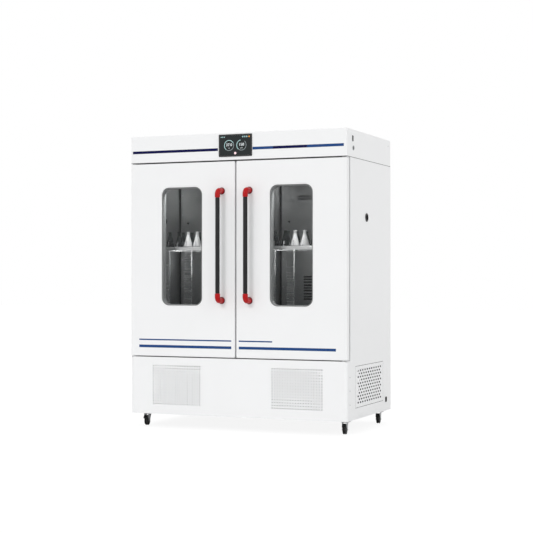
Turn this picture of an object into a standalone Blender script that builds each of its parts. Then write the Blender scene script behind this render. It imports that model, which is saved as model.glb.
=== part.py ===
"""Floor-standing twin-door shaking incubator.

Metres, +X to the right of someone facing the doors, +Y to the rear, +Z up.
The origin is on the floor under the middle of the whole, handles included.
"""

import math

import bmesh
import bpy
from mathutils import Matrix, Vector

# Fits
GAP = 0.0003
WELD_OVERLAP = 0.0005
RUNNING = 0.0004
SHEET = 0.0015
OVERSHOOT = 0.010

# Cabinet
WIDTH = 1.500
DEPTH = 0.890
BODY_HEIGHT = 1.810
CASTER_HEIGHT = 0.090
BASE_HEIGHT = 0.370
HEADER_HEIGHT = 0.176
HEADER_EDGE_RADIUS = 0.005
FASCIA_CORNER_RADIUS = 0.022
FASCIA_STEPS = 5

# Insulated walls round the two chambers
PARTITION = 0.130
SIDE_WALL = 0.060
FLOOR_WALL = 0.055
CEILING_WALL = 0.059
REAR_WALL = 0.100
DUCT_DEPTH = 0.190

# Doors
DOOR_GAP = 0.006
DOOR_CENTRE_GAP = 0.010
DOOR_SIDE_INSET = 0.0005
DOOR_SHELL_DEPTH = 0.040
DOOR_LINER_FLANGE = 0.0037
DOOR_LINER_INSET = 0.003
DOOR_PAD_DEPTH = 0.010
DOOR_EDGE_BEVEL = 0.002
GASKET_THICKNESS = 0.0134
GASKET_WIDTH = 0.022
GASKET_INSET = 0.032
GASKET_CORNER_RADIUS = 0.020
PIN_RADIUS = 0.004
PIN_FROM_SIDE = 0.014
PIN_FROM_FRONT = 0.022
PIN_ENGAGEMENT = 0.016
BRACKET_THICKNESS = 0.003
BRACKET_LENGTH = 0.036
BRACKET_SETBACK = 0.004
BRACKET_CORNER = 0.006

# Windows
WINDOW_WIDTH = 0.290
WINDOW_HEIGHT = 0.765
WINDOW_RADIUS = 0.050
WINDOW_X = 0.380
WINDOW_MIDDLE = 1.088
GLASS_THICKNESS = 0.004
GLASS_RECESS = 0.0025
SPACER_WIDTH = 0.008
SPACER_VENT_RADIUS = 0.003

# Handles
HANDLE_X = 0.096
HANDLE_STANDOFF = 0.065
HANDLE_LENGTH = 0.700
HANDLE_MIDDLE = 1.090
GRIP_RADIUS = 0.014
ELBOW_RADIUS = 0.017
ELBOW_BEND = 0.024
ELBOW_LEG = 0.045
ELBOW_STEPS = 3
HANDLE_FLANGE_RADIUS = 0.020
HANDLE_FLANGE_THICKNESS = 0.005
HANDLE_FLANGE_CHAMFER = 0.002

# Touch screen in the header
SCREEN_WIDTH = 0.230
SCREEN_HEIGHT = 0.142
SCREEN_MIDDLE = 1.728
SCREEN_BORDER = 0.009
SCREEN_CORNER = 0.004
BEZEL_PROUD = 0.005
GLASS_POCKET = 0.0015
SCREEN_BOX_DEPTH = 0.045
SCREEN_BOX_MARGIN = 0.006

# Rocker switch, round socket and power inlet on the right side
SWITCH_DEPTH = 0.107
SWITCH_HEIGHT = 1.7525
SWITCH_WIDTH = 0.022
SWITCH_LENGTH = 0.036
SWITCH_RIM = 0.002
SWITCH_BODY = 0.018
ROCKER_WIDTH = 0.0145
ROCKER_LENGTH = 0.026
ROCKER_TILT = 8.0
ROCKER_DISH = 0.7
SOCKET_DEPTH = 0.118
SOCKET_HEIGHT = 1.694
SOCKET_RADIUS = 0.015
SOCKET_BODY_RADIUS = 0.011
SOCKET_CHAMFER = 0.002
INLET_DEPTH = 0.784
INLET_HEIGHT = 0.0745
INLET_WIDTH = 0.030
INLET_LENGTH = 0.034
FITTING_PROUD = 0.003
FITTING_RIM = 0.0025

# Cable ports through the side walls
PORT_DEPTH = 0.378
PORT_HEIGHT = 1.271
PORT_BORE_RADIUS = 0.0195
PORT_WALL = 0.004
PORT_FLANGE_RADIUS = 0.0265
PORT_FLANGE = 0.0037

# Grilles
FRONT_GRILLE_X = 0.418
FRONT_GRILLE_MIDDLE = 0.191
FRONT_GRILLE_COLUMNS = 6
FRONT_GRILLE_ROWS = 5
FRONT_GRILLE_PITCH_X = 0.064
FRONT_GRILLE_PITCH_Z = 0.059
FRONT_HOLE_RADIUS = 0.012
SIDE_GRILLE_START = 0.157
SIDE_GRILLE_END = 0.720
SIDE_GRILLE_BOTTOM = 0.070
SIDE_GRILLE_TOP = 0.333
SIDE_GRILLE_SEAM = 0.0015
SIDE_GRILLE_LAP = 0.012
SIDE_GRILLE_COLUMNS = 7
SIDE_GRILLE_ROWS = 5
SIDE_GRILLE_PITCH_Y = 0.076
SIDE_GRILLE_PITCH_Z = 0.050
SIDE_HOLE_RADIUS = 0.014
BACK_SLOT_COLUMNS = 2
BACK_SLOT_ROWS = 7
BACK_SLOT_LENGTH = 0.300
BACK_SLOT_HEIGHT = 0.012
BACK_SLOT_PITCH = 0.034
BACK_SLOT_X = 0.380
BACK_SLOT_MIDDLE = 0.190

# Base frame
FRAME_TUBE = 0.036
PAN_THICKNESS = 0.002
FRAME_MEMBER_X = 0.220

# Casters
CASTER_INSET = 0.058
CASTER_FRONT_DEPTH = 0.132
CASTER_REAR_DEPTH = 0.812
CASTER_PLATE_WIDTH = 0.066
CASTER_PLATE_LENGTH = 0.056
CASTER_PLATE_THICKNESS = 0.003
CASTER_PLATE_CORNER = 0.006
WHEEL_RADIUS = 0.030
WHEEL_WIDTH = 0.024
WHEEL_SIDES = 20
WHEEL_BEVEL = 0.004
AXLE_RADIUS = 0.004
CASTER_TRAIL = 0.016
CROWN_RADIUS = 0.033
CROWN_THICKNESS = 0.012
FORK_LEG = 0.0025
FORK_CLEARANCE = 0.0013
FORK_NOSE = 0.020
FORK_TAIL = 0.036
FORK_TAIL_DEPTH = 0.022
FORK_FOOT = 0.0105
FORK_SOLE = 0.0074
AXLE_HEAD = 0.004
PEDAL_THICKNESS = 0.004
PEDAL_REACH = 0.026
PEDAL_DROP = 0.018
PEDAL_HINGE_X = -0.029
PEDAL_HINGE_DROP = 0.0205
PEDAL_BEND = 0.010
CASTER_TURN = {"front_left": 96.0, "front_right": 99.0, "rear_left": 93.0, "rear_right": 98.0}

# Orbital drive
ORBIT_RADIUS = 0.013
DRIVE_WIDTH = 0.440
DRIVE_DEPTH = 0.380
DRIVE_HEIGHT = 0.200
DRIVE_CORNER = 0.030
DRIVE_EDGE = 0.006
IDLER_OFFSET = 0.150
CRANK_LIFT = 0.002
CRANK_WEB_RADIUS = 0.036
CRANK_WEB_THICKNESS = 0.012
JOURNAL_RADIUS = 0.012
JOURNAL_LENGTH = 0.026
CRANK_PIN_RADIUS = 0.008
CRANK_PIN_LENGTH = 0.026
BEARING_WALL = 0.010
BEARING_LIFT = 0.003

# Flask rack
RACK_WIDTH = 0.450
RACK_DEPTH = 0.420
RACK_CORNER = 0.050
DECK_THICKNESS = 0.002
DECK_LIP = 0.024
LOWER_DECK_TOP = 0.704
UPPER_DECK_TOP = 1.088
POST_WIDTH = 0.050
POST_FLANGE = 0.018
POST_SHEET = 0.002
POST_INSET_X = 0.003
POST_INSET_Y = 0.034

# Flasks and their clamps
FLASK_COLUMNS = 6
FLASK_ROWS = 2
FLASK_PITCH = 0.066
FLASK_ROW_PITCH = 0.124
FLASK_ROW_START = 0.040
FLASK_SIDES = 8
FLASK_RADIUS = 0.0285
FLASK_NECK_RADIUS = 0.0105
FLASK_LIP_RADIUS = 0.0130
FLASK_BODY_HEIGHT = 0.075
FLASK_HEIGHT = 0.098
FLASK_LIP_HEIGHT = 0.006
FLASK_WAIST = 0.010
CLAMP_PLATE = 0.0012
CLAMP_HALF_WIDTH = 0.0315
CLAMP_ARM_WIDTH = 0.008
CLAMP_ARM_THICKNESS = 0.0012
CLAMP_ARM_HEIGHT = 0.032
CLAMP_ARM_TILT = 8.5

# Air ducts behind the chambers
DUCT_SLOT_HEIGHT = 0.009
DUCT_SLOT_WIDTH = 0.383
DUCT_SLOT_LEVELS = (1.413, 1.432)
LOUVRE_WIDTH = 0.283
LOUVRE_BLOCKS = 3
LOUVRE_ROWS = 3
LOUVRE_BLOCK_PITCH = 0.057
LOUVRE_ROW_PITCH = 0.018
LOUVRE_LOWEST = 0.742
FAN_LEVEL = 1.300
FAN_RADIUS = 0.075
FAN_HUB_RADIUS = 0.020
FAN_DEPTH = 0.026
FAN_BLADES = 5
FAN_BLADE_THICKNESS = 0.003
FAN_RAKE = 0.35
FAN_BLADE_START = 0.1
FAN_BLADE_ROOT = 0.6
FAN_MOTOR_RADIUS = 0.036
FAN_MOTOR_LENGTH = 0.050
FAN_SHAFT_RADIUS = 0.004
FAN_SHAFT_LENGTH = 0.015
HEATER_RADIUS = 0.095
HEATER_TUBE_RADIUS = 0.005
HEATER_STUD_RADIUS = 0.003
HEATER_FROM_WALL = 0.030

# Cooling machine in the base
COMPRESSOR_X = 0.400
COMPRESSOR_DEPTH = 0.560
COMPRESSOR_RADIUS = 0.078
COMPRESSOR_HEIGHT = 0.205
COMPRESSOR_FOOT_RADIUS = 0.095
COMPRESSOR_FOOT = 0.006
COMPRESSOR_HEEL_RADIUS = 0.062
COMPRESSOR_BELLY = 0.030
COMPRESSOR_SHOULDER = 0.045
COMPRESSOR_NECK = 0.015
COMPRESSOR_NECK_RADIUS = 0.066
COMPRESSOR_CAP_RADIUS = 0.035
CONDENSER_X = -0.430
CONDENSER_DEPTH = 0.120
CONDENSER_WIDTH = 0.300
CONDENSER_HEIGHT = 0.240
CONDENSER_CORE = 0.045
CONDENSER_FINS = 9
FIN_GROOVE = 0.010
SHROUD_DEPTH = 0.045
COOLING_FAN_RADIUS = 0.100
SHROUD_CLEARANCE = 0.008
COOLING_MOTOR_BAR = 0.024

# Cosine above which an edge counts as upright
UPRIGHT = 0.9

# Places that follow from the sizes above
HANDLE_REACH = HANDLE_STANDOFF + ELBOW_RADIUS
FRONT = (HANDLE_REACH - DEPTH) / 2
REAR = FRONT + DEPTH
SIDE = WIDTH / 2
BOTTOM = CASTER_HEIGHT
BASE_TOP = BOTTOM + BASE_HEIGHT
PAN_TOP = BOTTOM + FRAME_TUBE + PAN_THICKNESS / 2
ROOF = BOTTOM + BODY_HEIGHT
HEADER_BOTTOM = ROOF - HEADER_HEIGHT
DOOR_BOTTOM = BASE_TOP + DOOR_GAP
DOOR_TOP = HEADER_BOTTOM - DOOR_GAP
DOOR_INNER = DOOR_CENTRE_GAP / 2
DOOR_OUTER = SIDE - DOOR_SIDE_INSET
LINER_START = FRONT + DOOR_SHELL_DEPTH + GAP
LINER_END = LINER_START + DOOR_LINER_FLANGE
GASKET_START = LINER_END + GAP
FACE = GASKET_START + GASKET_THICKNESS + GAP
CHAMBER_INNER = PARTITION / 2
CHAMBER_OUTER = SIDE - SIDE_WALL
CHAMBER_MIDDLE = (CHAMBER_INNER + CHAMBER_OUTER) / 2
CHAMBER_FLOOR = BASE_TOP + FLOOR_WALL
CHAMBER_CEILING = HEADER_BOTTOM - CEILING_WALL
CHAMBER_REAR = REAR - REAR_WALL
DUCT_FACE = CHAMBER_REAR - DUCT_DEPTH
CORE_FACE = FACE + SHEET + GAP
RACK_Y = (FACE + DUCT_FACE) / 2
CRANK_Y = RACK_Y - ORBIT_RADIUS
DRIVE_TOP = CHAMBER_FLOOR + GAP + DRIVE_HEIGHT
CRANK_WEB_BOTTOM = DRIVE_TOP + CRANK_LIFT
CRANK_WEB_TOP = CRANK_WEB_BOTTOM + CRANK_WEB_THICKNESS
LOWER_DECK = BOTTOM + LOWER_DECK_TOP
UPPER_DECK = BOTTOM + UPPER_DECK_TOP
PIN_X = SIDE - PIN_FROM_SIDE
PIN_Y = FRONT + PIN_FROM_FRONT
AXLE_Z = WHEEL_RADIUS * math.cos(math.pi / WHEEL_SIDES)
SIDES = {"left": -1, "right": 1}

FINISHES = {
    "white_paint": ((0.90, 0.91, 0.91), 0.35, 0.0),
    "grey_paint": ((0.45, 0.46, 0.47), 0.50, 0.0),
    "dark_steel": ((0.10, 0.10, 0.11), 0.45, 0.8),
    "stainless": ((0.62, 0.63, 0.64), 0.30, 1.0),
    "zinc": ((0.58, 0.59, 0.60), 0.38, 1.0),
    "black_plastic": ((0.03, 0.03, 0.03), 0.45, 0.0),
    "liner_plastic": ((0.80, 0.81, 0.81), 0.45, 0.0),
    "foam": ((0.85, 0.80, 0.60), 0.90, 0.0),
    "red_plastic": ((0.78, 0.03, 0.03), 0.30, 0.0),
    "black_rubber": ((0.05, 0.05, 0.05), 0.70, 0.0),
    "tinted_glass": ((0.10, 0.11, 0.11), 0.05, 0.0),
    "clear_glass": ((0.80, 0.84, 0.86), 0.05, 0.0),
    "screen_glass": ((0.08, 0.09, 0.10), 0.10, 0.0),
}


def finish(name):
    """A Principled material for one of the finishes."""
    material = bpy.data.materials.get(name)
    if material:
        return material
    colour, roughness, metallic = FINISHES[name]
    material = bpy.data.materials.new(name)
    material.use_nodes = True
    shader = material.node_tree.nodes["Principled BSDF"]
    shader.inputs["Base Color"].default_value = (*colour, 1.0)
    shader.inputs["Roughness"].default_value = roughness
    shader.inputs["Metallic"].default_value = metallic
    material.diffuse_color = (*colour, 1.0)
    return material


# Solids, each a closed bmesh in world coordinates


def prism(outline, start, end, axis="Z"):
    """Extrude a flat outline from start to end along an axis.

    The outline's points are (x, y) for Z, (x, z) for Y and (y, z) for X.
    """
    place = {
        "X": lambda u, v, w: (w, u, v),
        "Y": lambda u, v, w: (u, w, v),
        "Z": lambda u, v, w: (u, v, w),
    }[axis]
    solid = bmesh.new()
    face = solid.faces.new([solid.verts.new(place(u, v, start)) for u, v in outline])
    grown = bmesh.ops.extrude_face_region(solid, geom=[face])
    moved = [item for item in grown["geom"] if isinstance(item, bmesh.types.BMVert)]
    bmesh.ops.translate(solid, verts=moved, vec=Vector(place(0, 0, end - start)))
    bmesh.ops.recalc_face_normals(solid, faces=solid.faces)
    return solid


def block(low, high):
    """A box between two corners."""
    low_x, low_y, low_z = low
    high_x, high_y, high_z = high
    outline = [(low_x, low_y), (high_x, low_y), (high_x, high_y), (low_x, high_y)]
    return prism(outline, low_z, high_z)


def rounded(left, right, low, high, radius, steps=4):
    """A rectangle's outline with round corners."""
    corners = [(right, low, -90), (right, high, 0), (left, high, 90), (left, low, 180)]
    points = []
    for u, v, first in corners:
        centre_u = u - math.copysign(radius, u - (left + right) / 2)
        centre_v = v - math.copysign(radius, v - (low + high) / 2)
        for step in range(steps + 1):
            angle = math.radians(first + 90 * step / steps)
            points.append((centre_u + radius * math.cos(angle), centre_v + radius * math.sin(angle)))
    return points


def circle(u, v, radius, sides, turn=0.0):
    """A regular polygon's outline, its first corner turned from +u by turn degrees."""
    angles = [math.radians(turn) + math.tau * step / sides for step in range(sides)]
    return [(u + radius * math.cos(angle), v + radius * math.sin(angle)) for angle in angles]


def revolve(profile, centre, sides, axis="Z"):
    """Spin a profile of (radius, height) points, closed on the axis, into a solid."""
    solid = bmesh.new()
    points = [solid.verts.new((radius, 0, height)) for radius, height in profile]
    edges = [solid.edges.new(pair) for pair in zip(points, points[1:])]
    bmesh.ops.spin(solid, geom=points + edges, cent=(0, 0, 0), axis=(0, 0, 1), angle=math.tau, steps=sides)
    bmesh.ops.remove_doubles(solid, verts=solid.verts, dist=0.00002)
    bmesh.ops.recalc_face_normals(solid, faces=solid.faces)
    turn = {
        "X": Matrix.Rotation(math.radians(90), 4, "Y"),
        "Y": Matrix.Rotation(math.radians(-90), 4, "X"),
        "Z": Matrix.Identity(4),
    }[axis]
    solid.transform(Matrix.Translation(centre) @ turn)
    return solid


def tube(path, radius, sides):
    """A round bar that follows a path lying in a plane of constant X."""
    solid = bmesh.new()
    rings = []
    for index, point in enumerate(path):
        before = path[max(index - 1, 0)]
        after = path[min(index + 1, len(path) - 1)]
        along = (Vector(after) - Vector(before)).normalized()
        across = Vector((1, 0, 0))
        up = along.cross(across)
        ring = []
        for u, v in circle(0, 0, radius, sides, 180 / sides):
            ring.append(solid.verts.new(Vector(point) + across * u + up * v))
        rings.append(ring)
    for first, second in zip(rings, rings[1:]):
        edges = []
        for ring in (first, second):
            for start, end in zip(ring, ring[1:] + ring[:1]):
                edges.append(solid.edges.get((start, end)) or solid.edges.new((start, end)))
        bmesh.ops.bridge_loops(solid, edges=edges)
    solid.faces.new(rings[0])
    solid.faces.new(rings[-1])
    bmesh.ops.recalc_face_normals(solid, faces=solid.faces)
    return solid


def bevelled(solid, width, steps, chosen):
    """Round the edges whose direction and middle pass a test."""
    edges = []
    for edge in solid.edges:
        start, end = (vert.co for vert in edge.verts)
        if chosen((end - start).normalized(), (start + end) / 2):
            edges.append(edge)
    bmesh.ops.bevel(
        solid, geom=edges, offset=width, segments=steps, profile=0.5, affect="EDGES", clamp_overlap=True
    )
    bmesh.ops.recalc_face_normals(solid, faces=solid.faces)
    return solid


def grouped(solids):
    """Put separate solids into one mesh."""
    group = bmesh.new()
    for solid in solids:
        mesh = bpy.data.meshes.new("scratch")
        solid.to_mesh(mesh)
        solid.free()
        group.from_mesh(mesh)
        bpy.data.meshes.remove(mesh)
    return group


def scratch_object(solid):
    """A temporary object that holds a solid."""
    mesh = bpy.data.meshes.new("scratch")
    solid.to_mesh(mesh)
    solid.free()
    thing = bpy.data.objects.new("scratch", mesh)
    bpy.context.collection.objects.link(thing)
    return thing


def combine(solid, tools, operation):
    """Join tools to a solid or cut them from it with the exact Boolean solver."""
    target = scratch_object(solid)
    helpers = [scratch_object(tool) for tool in tools]
    for helper in helpers:
        modifier = target.modifiers.new("Boolean", "BOOLEAN")
        modifier.operation = operation
        modifier.solver = "EXACT"
        modifier.object = helper
    bpy.context.view_layer.update()
    result = bmesh.new()
    result.from_object(target, bpy.context.evaluated_depsgraph_get())
    for thing in [target, *helpers]:
        mesh = thing.data
        bpy.data.objects.remove(thing)
        bpy.data.meshes.remove(mesh)
    bmesh.ops.remove_doubles(result, verts=result.verts, dist=0.000001)
    bmesh.ops.dissolve_limit(
        result, angle_limit=math.radians(0.05), verts=result.verts, edges=result.edges
    )
    return result


def joined(*solids):
    """One body from solids that overlap."""
    return combine(solids[0], solids[1:], "UNION")


def cut(solid, *tools):
    """A solid with tools taken out of it."""
    return combine(solid, tools, "DIFFERENCE")


def mirrored(solid, side):
    """The solid as built for the right side, or its mirror image for the left."""
    if side < 0:
        solid.transform(Matrix.Diagonal((-1, 1, 1, 1)))
        bmesh.ops.reverse_faces(solid, faces=solid.faces)
    return solid


def add_part(name, solid, finish_name, origin=(0, 0, 0), smooth=False):
    """Make a named object, its origin on its joint's axis, from a solid in world coordinates."""
    solid.transform(Matrix.Translation(-Vector(origin)))
    mesh = bpy.data.meshes.new(name)
    solid.to_mesh(mesh)
    solid.free()
    if smooth:
        mesh.shade_smooth()
        mesh.set_sharp_from_angle(angle=math.radians(35))
    mesh.materials.append(finish(finish_name))
    part = bpy.data.objects.new(name, mesh)
    part.location = origin
    bpy.context.collection.objects.link(part)
    return part


def add_joint_frame(name, origin, parent=None):
    """An empty on a joint's axis that carries the pieces of one moving body."""
    frame = bpy.data.objects.new(name, None)
    frame.empty_display_size = 0.05
    bpy.context.collection.objects.link(frame)
    frame.location = origin
    if parent:
        hang(frame, parent)
    return frame


def hang(child, parent):
    """Parent an object and keep its place in the world."""
    bpy.context.view_layer.update()
    child.parent = parent
    child.matrix_parent_inverse = parent.matrix_world.inverted()


# Cabinet


def caster_place(place):
    """Swivel axis of the caster with this name, as x and y."""
    x = (SIDE - CASTER_INSET) * (1 if place.endswith("right") else -1)
    y = FRONT + (CASTER_FRONT_DEPTH if place.startswith("front") else CASTER_REAR_DEPTH)
    return x, y


def make_base_frame():
    """Welded tube frame with its pan, cross tubes and caster plates, under the insulated body."""
    outer = SIDE - 2 * SHEET - 3 * GAP
    front = FACE + GAP
    rear = REAR - SHEET - GAP
    rings = []
    for low in (BOTTOM, BASE_TOP - FRAME_TUBE):
        ring = block((-outer, front, low), (outer, rear, low + FRAME_TUBE))
        hole = block(
            (-outer + FRAME_TUBE, front + FRAME_TUBE, low - FRAME_TUBE),
            (outer - FRAME_TUBE, rear - FRAME_TUBE, low + 2 * FRAME_TUBE),
        )
        rings.append(cut(ring, hole))
    lap = FRAME_TUBE / 4
    posts = []
    for x in (-outer, outer - FRAME_TUBE):
        for y in (front, rear - FRAME_TUBE):
            posts.append(
                block(
                    (x, y, BOTTOM + FRAME_TUBE - lap),
                    (x + FRAME_TUBE, y + FRAME_TUBE, BASE_TOP - FRAME_TUBE + lap),
                )
            )
    members = []
    for x in (-FRAME_MEMBER_X, FRAME_MEMBER_X):
        members.append(
            block(
                (x - FRAME_TUBE / 2, front + FRAME_TUBE - lap, BASE_TOP - FRAME_TUBE),
                (x + FRAME_TUBE / 2, rear - FRAME_TUBE + lap, BASE_TOP),
            )
        )
    for depth in (CASTER_FRONT_DEPTH, CASTER_REAR_DEPTH):
        members.append(
            block(
                (-outer + FRAME_TUBE - lap, FRONT + depth - FRAME_TUBE / 2, BOTTOM),
                (outer - FRAME_TUBE + lap, FRONT + depth + FRAME_TUBE / 2, BOTTOM + FRAME_TUBE),
            )
        )
    pan = block(
        (-outer + lap, front + lap, PAN_TOP - PAN_THICKNESS),
        (outer - lap, rear - lap, PAN_TOP),
    )
    plates = []
    for place in CASTER_TURN:
        x, y = caster_place(place)
        outline = rounded(
            x - CASTER_PLATE_WIDTH / 2,
            x + CASTER_PLATE_WIDTH / 2,
            y - CASTER_PLATE_LENGTH / 2,
            y + CASTER_PLATE_LENGTH / 2,
            CASTER_PLATE_CORNER,
            2,
        )
        plates.append(prism(outline, BOTTOM - CASTER_PLATE_THICKNESS, BOTTOM + WELD_OVERLAP))
    frame = joined(rings[0], pan, *posts, rings[1], *members, grouped(plates))
    add_part("base_frame", frame, "grey_paint")


def fascia_outline(inset, rear):
    """Plan of the base front panel: a rectangle with its two front corners rounded."""
    side = SIDE - inset
    front = FRONT + inset
    radius = FASCIA_CORNER_RADIUS - inset
    points = [(side, rear), (-side, rear)]
    for x, first in ((-side + radius, 180), (side - radius, 270)):
        for step in range(FASCIA_STEPS + 1):
            angle = math.radians(first + 90 * step / FASCIA_STEPS)
            points.append((x + radius * math.cos(angle), front + radius + radius * math.sin(angle)))
    return points


def make_base_front_panel():
    """Folded front panel with a top ledge and two punched grilles."""
    rear = FACE - GAP
    panel = prism(fascia_outline(0, rear), BOTTOM, BASE_TOP)
    hollow = prism(fascia_outline(SHEET, rear + SHEET), BOTTOM - SHEET, BASE_TOP - SHEET)
    panel = cut(panel, hollow)
    holes = []
    for side in SIDES.values():
        for column in range(FRONT_GRILLE_COLUMNS):
            x = side * FRONT_GRILLE_X + (column - (FRONT_GRILLE_COLUMNS - 1) / 2) * FRONT_GRILLE_PITCH_X
            for row in range(FRONT_GRILLE_ROWS):
                z = BOTTOM + FRONT_GRILLE_MIDDLE + (row - (FRONT_GRILLE_ROWS - 1) / 2) * FRONT_GRILLE_PITCH_Z
                hole = circle(x, z, FRONT_HOLE_RADIUS, 4)
                holes.append(prism(hole, FRONT - SHEET, FRONT + 2 * SHEET, "Y"))
    add_part("base_front_panel", cut(panel, grouped(holes)), "white_paint")


def port_cutter(side):
    """Bar that makes the cable port's hole in a side wall."""
    radius = PORT_BORE_RADIUS + PORT_WALL + GAP
    outline = circle(FRONT + PORT_DEPTH, BOTTOM + PORT_HEIGHT, radius, 16)
    return prism(outline, side * (CHAMBER_OUTER - OVERSHOOT), side * (SIDE + OVERSHOOT), "X")


def make_side_panels():
    """Outer side skins with the openings for the grille and the cable port."""
    for name, side in SIDES.items():
        sheet = block((SIDE - SHEET, FACE, BOTTOM), (SIDE, REAR, HEADER_BOTTOM - GAP))
        grille = block(
            (SIDE - 2 * SHEET, FRONT + SIDE_GRILLE_START, BOTTOM + SIDE_GRILLE_BOTTOM),
            (SIDE + SHEET, FRONT + SIDE_GRILLE_END, BOTTOM + SIDE_GRILLE_TOP),
        )
        cutters = [grille, port_cutter(1)]
        if side > 0:
            cutters.append(inlet_block(SIDE - 2 * SHEET, SIDE + SHEET, -FITTING_RIM + GAP))
        add_part(name + "_side_panel", mirrored(cut(sheet, *cutters), side), "white_paint")


def make_side_grilles():
    """Removable perforated plates that sit in the side panels' openings on a lapped edge."""
    for name, side in SIDES.items():
        start = FRONT + SIDE_GRILLE_START
        end = FRONT + SIDE_GRILLE_END
        low = BOTTOM + SIDE_GRILLE_BOTTOM
        high = BOTTOM + SIDE_GRILLE_TOP
        seam = SIDE_GRILLE_SEAM
        face = block((SIDE - 2 * SHEET, start + seam, low + seam), (SIDE, end - seam, high - seam))
        lap = SIDE_GRILLE_LAP
        backing = block(
            (SIDE - 2 * SHEET - GAP, start - lap, low - lap),
            (SIDE - SHEET - GAP, end + lap, high + lap),
        )
        holes = []
        for row in range(SIDE_GRILLE_ROWS):
            shift = row % 2
            for column in range(SIDE_GRILLE_COLUMNS - shift):
                across = column - (SIDE_GRILLE_COLUMNS - 1 - shift) / 2
                y = (start + end) / 2 + across * SIDE_GRILLE_PITCH_Y
                z = (low + high) / 2 + (row - (SIDE_GRILLE_ROWS - 1) / 2) * SIDE_GRILLE_PITCH_Z
                holes.append(prism(circle(y, z, SIDE_HOLE_RADIUS, 4), SIDE - 4 * SHEET, SIDE + SHEET, "X"))
        plate = cut(joined(face, backing), grouped(holes))
        add_part(name + "_side_grille", mirrored(plate, side), "white_paint")


def make_back_panel():
    """Rear skin with vent slots for the base."""
    side = SIDE - SHEET - GAP
    sheet = block((-side, REAR - SHEET, BOTTOM), (side, REAR, HEADER_BOTTOM - GAP))
    slots = []
    for column in range(BACK_SLOT_COLUMNS):
        x = BACK_SLOT_X * (2 * column - 1)
        for row in range(BACK_SLOT_ROWS):
            z = BOTTOM + BACK_SLOT_MIDDLE + (row - (BACK_SLOT_ROWS - 1) / 2) * BACK_SLOT_PITCH
            slots.append(
                block(
                    (x - BACK_SLOT_LENGTH / 2, REAR - 2 * SHEET, z - BACK_SLOT_HEIGHT / 2),
                    (x + BACK_SLOT_LENGTH / 2, REAR + SHEET, z + BACK_SLOT_HEIGHT / 2),
                )
            )
    add_part("back_panel", cut(sheet, grouped(slots)), "white_paint")


def make_header_cover():
    """Folded cover over the top with a ledge above the doors."""

    def outer_edge(direction, middle):
        return abs(direction.z) > UPRIGHT or middle.z > ROOF - 2 * SHEET

    def upright_edge(direction, middle):
        return abs(direction.z) > UPRIGHT

    shell = block((-SIDE, FRONT, HEADER_BOTTOM), (SIDE, REAR, ROOF))
    shell = bevelled(shell, HEADER_EDGE_RADIUS, 2, outer_edge)
    side = SIDE - SHEET
    inner_radius = HEADER_EDGE_RADIUS - SHEET
    inside = block((-side, FRONT + SHEET, HEADER_BOTTOM + SHEET), (side, REAR - SHEET, ROOF - SHEET))
    inside = bevelled(inside, inner_radius, 2, outer_edge)
    mouth = block((-side, FACE, HEADER_BOTTOM - SHEET), (side, REAR - SHEET, HEADER_BOTTOM + 2 * SHEET))
    mouth = bevelled(mouth, inner_radius, 2, upright_edge)
    screen = screen_block(FRONT - SHEET, FRONT + 2 * SHEET, -SCREEN_BOX_MARGIN + GAP)
    switch = switch_block(SIDE - 2 * SHEET, SIDE + SHEET, -FITTING_RIM + GAP)
    shell = joined(cut(shell, inside, mouth, screen, switch), make_socket())
    add_part("header_cover", shell, "white_paint")


def chamber_block(grow, front, rear):
    """The right chamber's space, grown on its five closed sides."""
    return block(
        (CHAMBER_INNER - grow, front, CHAMBER_FLOOR - grow),
        (CHAMBER_OUTER + grow, rear + grow, CHAMBER_CEILING + grow),
    )


def make_insulation():
    """Foam body with the two chambers' cavities."""
    side = SIDE - SHEET - GAP
    core = block((-side, CORE_FACE, BASE_TOP + GAP), (side, REAR - SHEET - GAP, HEADER_BOTTOM - GAP))
    cutters = []
    for side_sign in SIDES.values():
        cutters.append(mirrored(chamber_block(SHEET + GAP, CORE_FACE - OVERSHOOT, CHAMBER_REAR), side_sign))
        cutters.append(port_cutter(side_sign))
    add_part("insulation", cut(core, *cutters), "foam")


def make_hinge_brackets():
    """Four plates that reach forward into the gaps above and below the doors, with their pins."""
    brackets = []
    inner = SIDE - BRACKET_LENGTH - 2 * DOOR_SIDE_INSET
    outer = SIDE - SHEET - 2 * GAP
    front = FRONT + BRACKET_SETBACK
    for side in SIDES.values():
        for seat, into in ((BASE_TOP + GAP, 1), (HEADER_BOTTOM - GAP, -1)):
            plate_end = seat + into * BRACKET_THICKNESS
            tip = seat + into * (DOOR_GAP + PIN_ENGAGEMENT)
            outline = rounded(inner, outer, front, FACE + SHEET / 2, BRACKET_CORNER, 2)
            plate = prism(outline, min(seat, plate_end), max(seat, plate_end))
            root = seat + into * BRACKET_THICKNESS / 2
            pin = prism(circle(PIN_X, PIN_Y, PIN_RADIUS, 10), min(root, tip), max(root, tip))
            brackets.append(mirrored(joined(plate, pin), side))
    return brackets


def make_door_frame():
    """Painted front frame that the door gaskets close against, with the hinge brackets."""
    side = SIDE - SHEET - GAP
    frame = block((-side, FACE, BASE_TOP + GAP), (side, FACE + SHEET, HEADER_BOTTOM - GAP))
    mouths = []
    for side_sign in SIDES.values():
        mouths.append(mirrored(chamber_block(0, FACE - OVERSHOOT, FACE + OVERSHOOT), side_sign))
    frame = cut(frame, *mouths)
    add_part("door_frame", joined(frame, grouped(make_hinge_brackets())), "white_paint")


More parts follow.
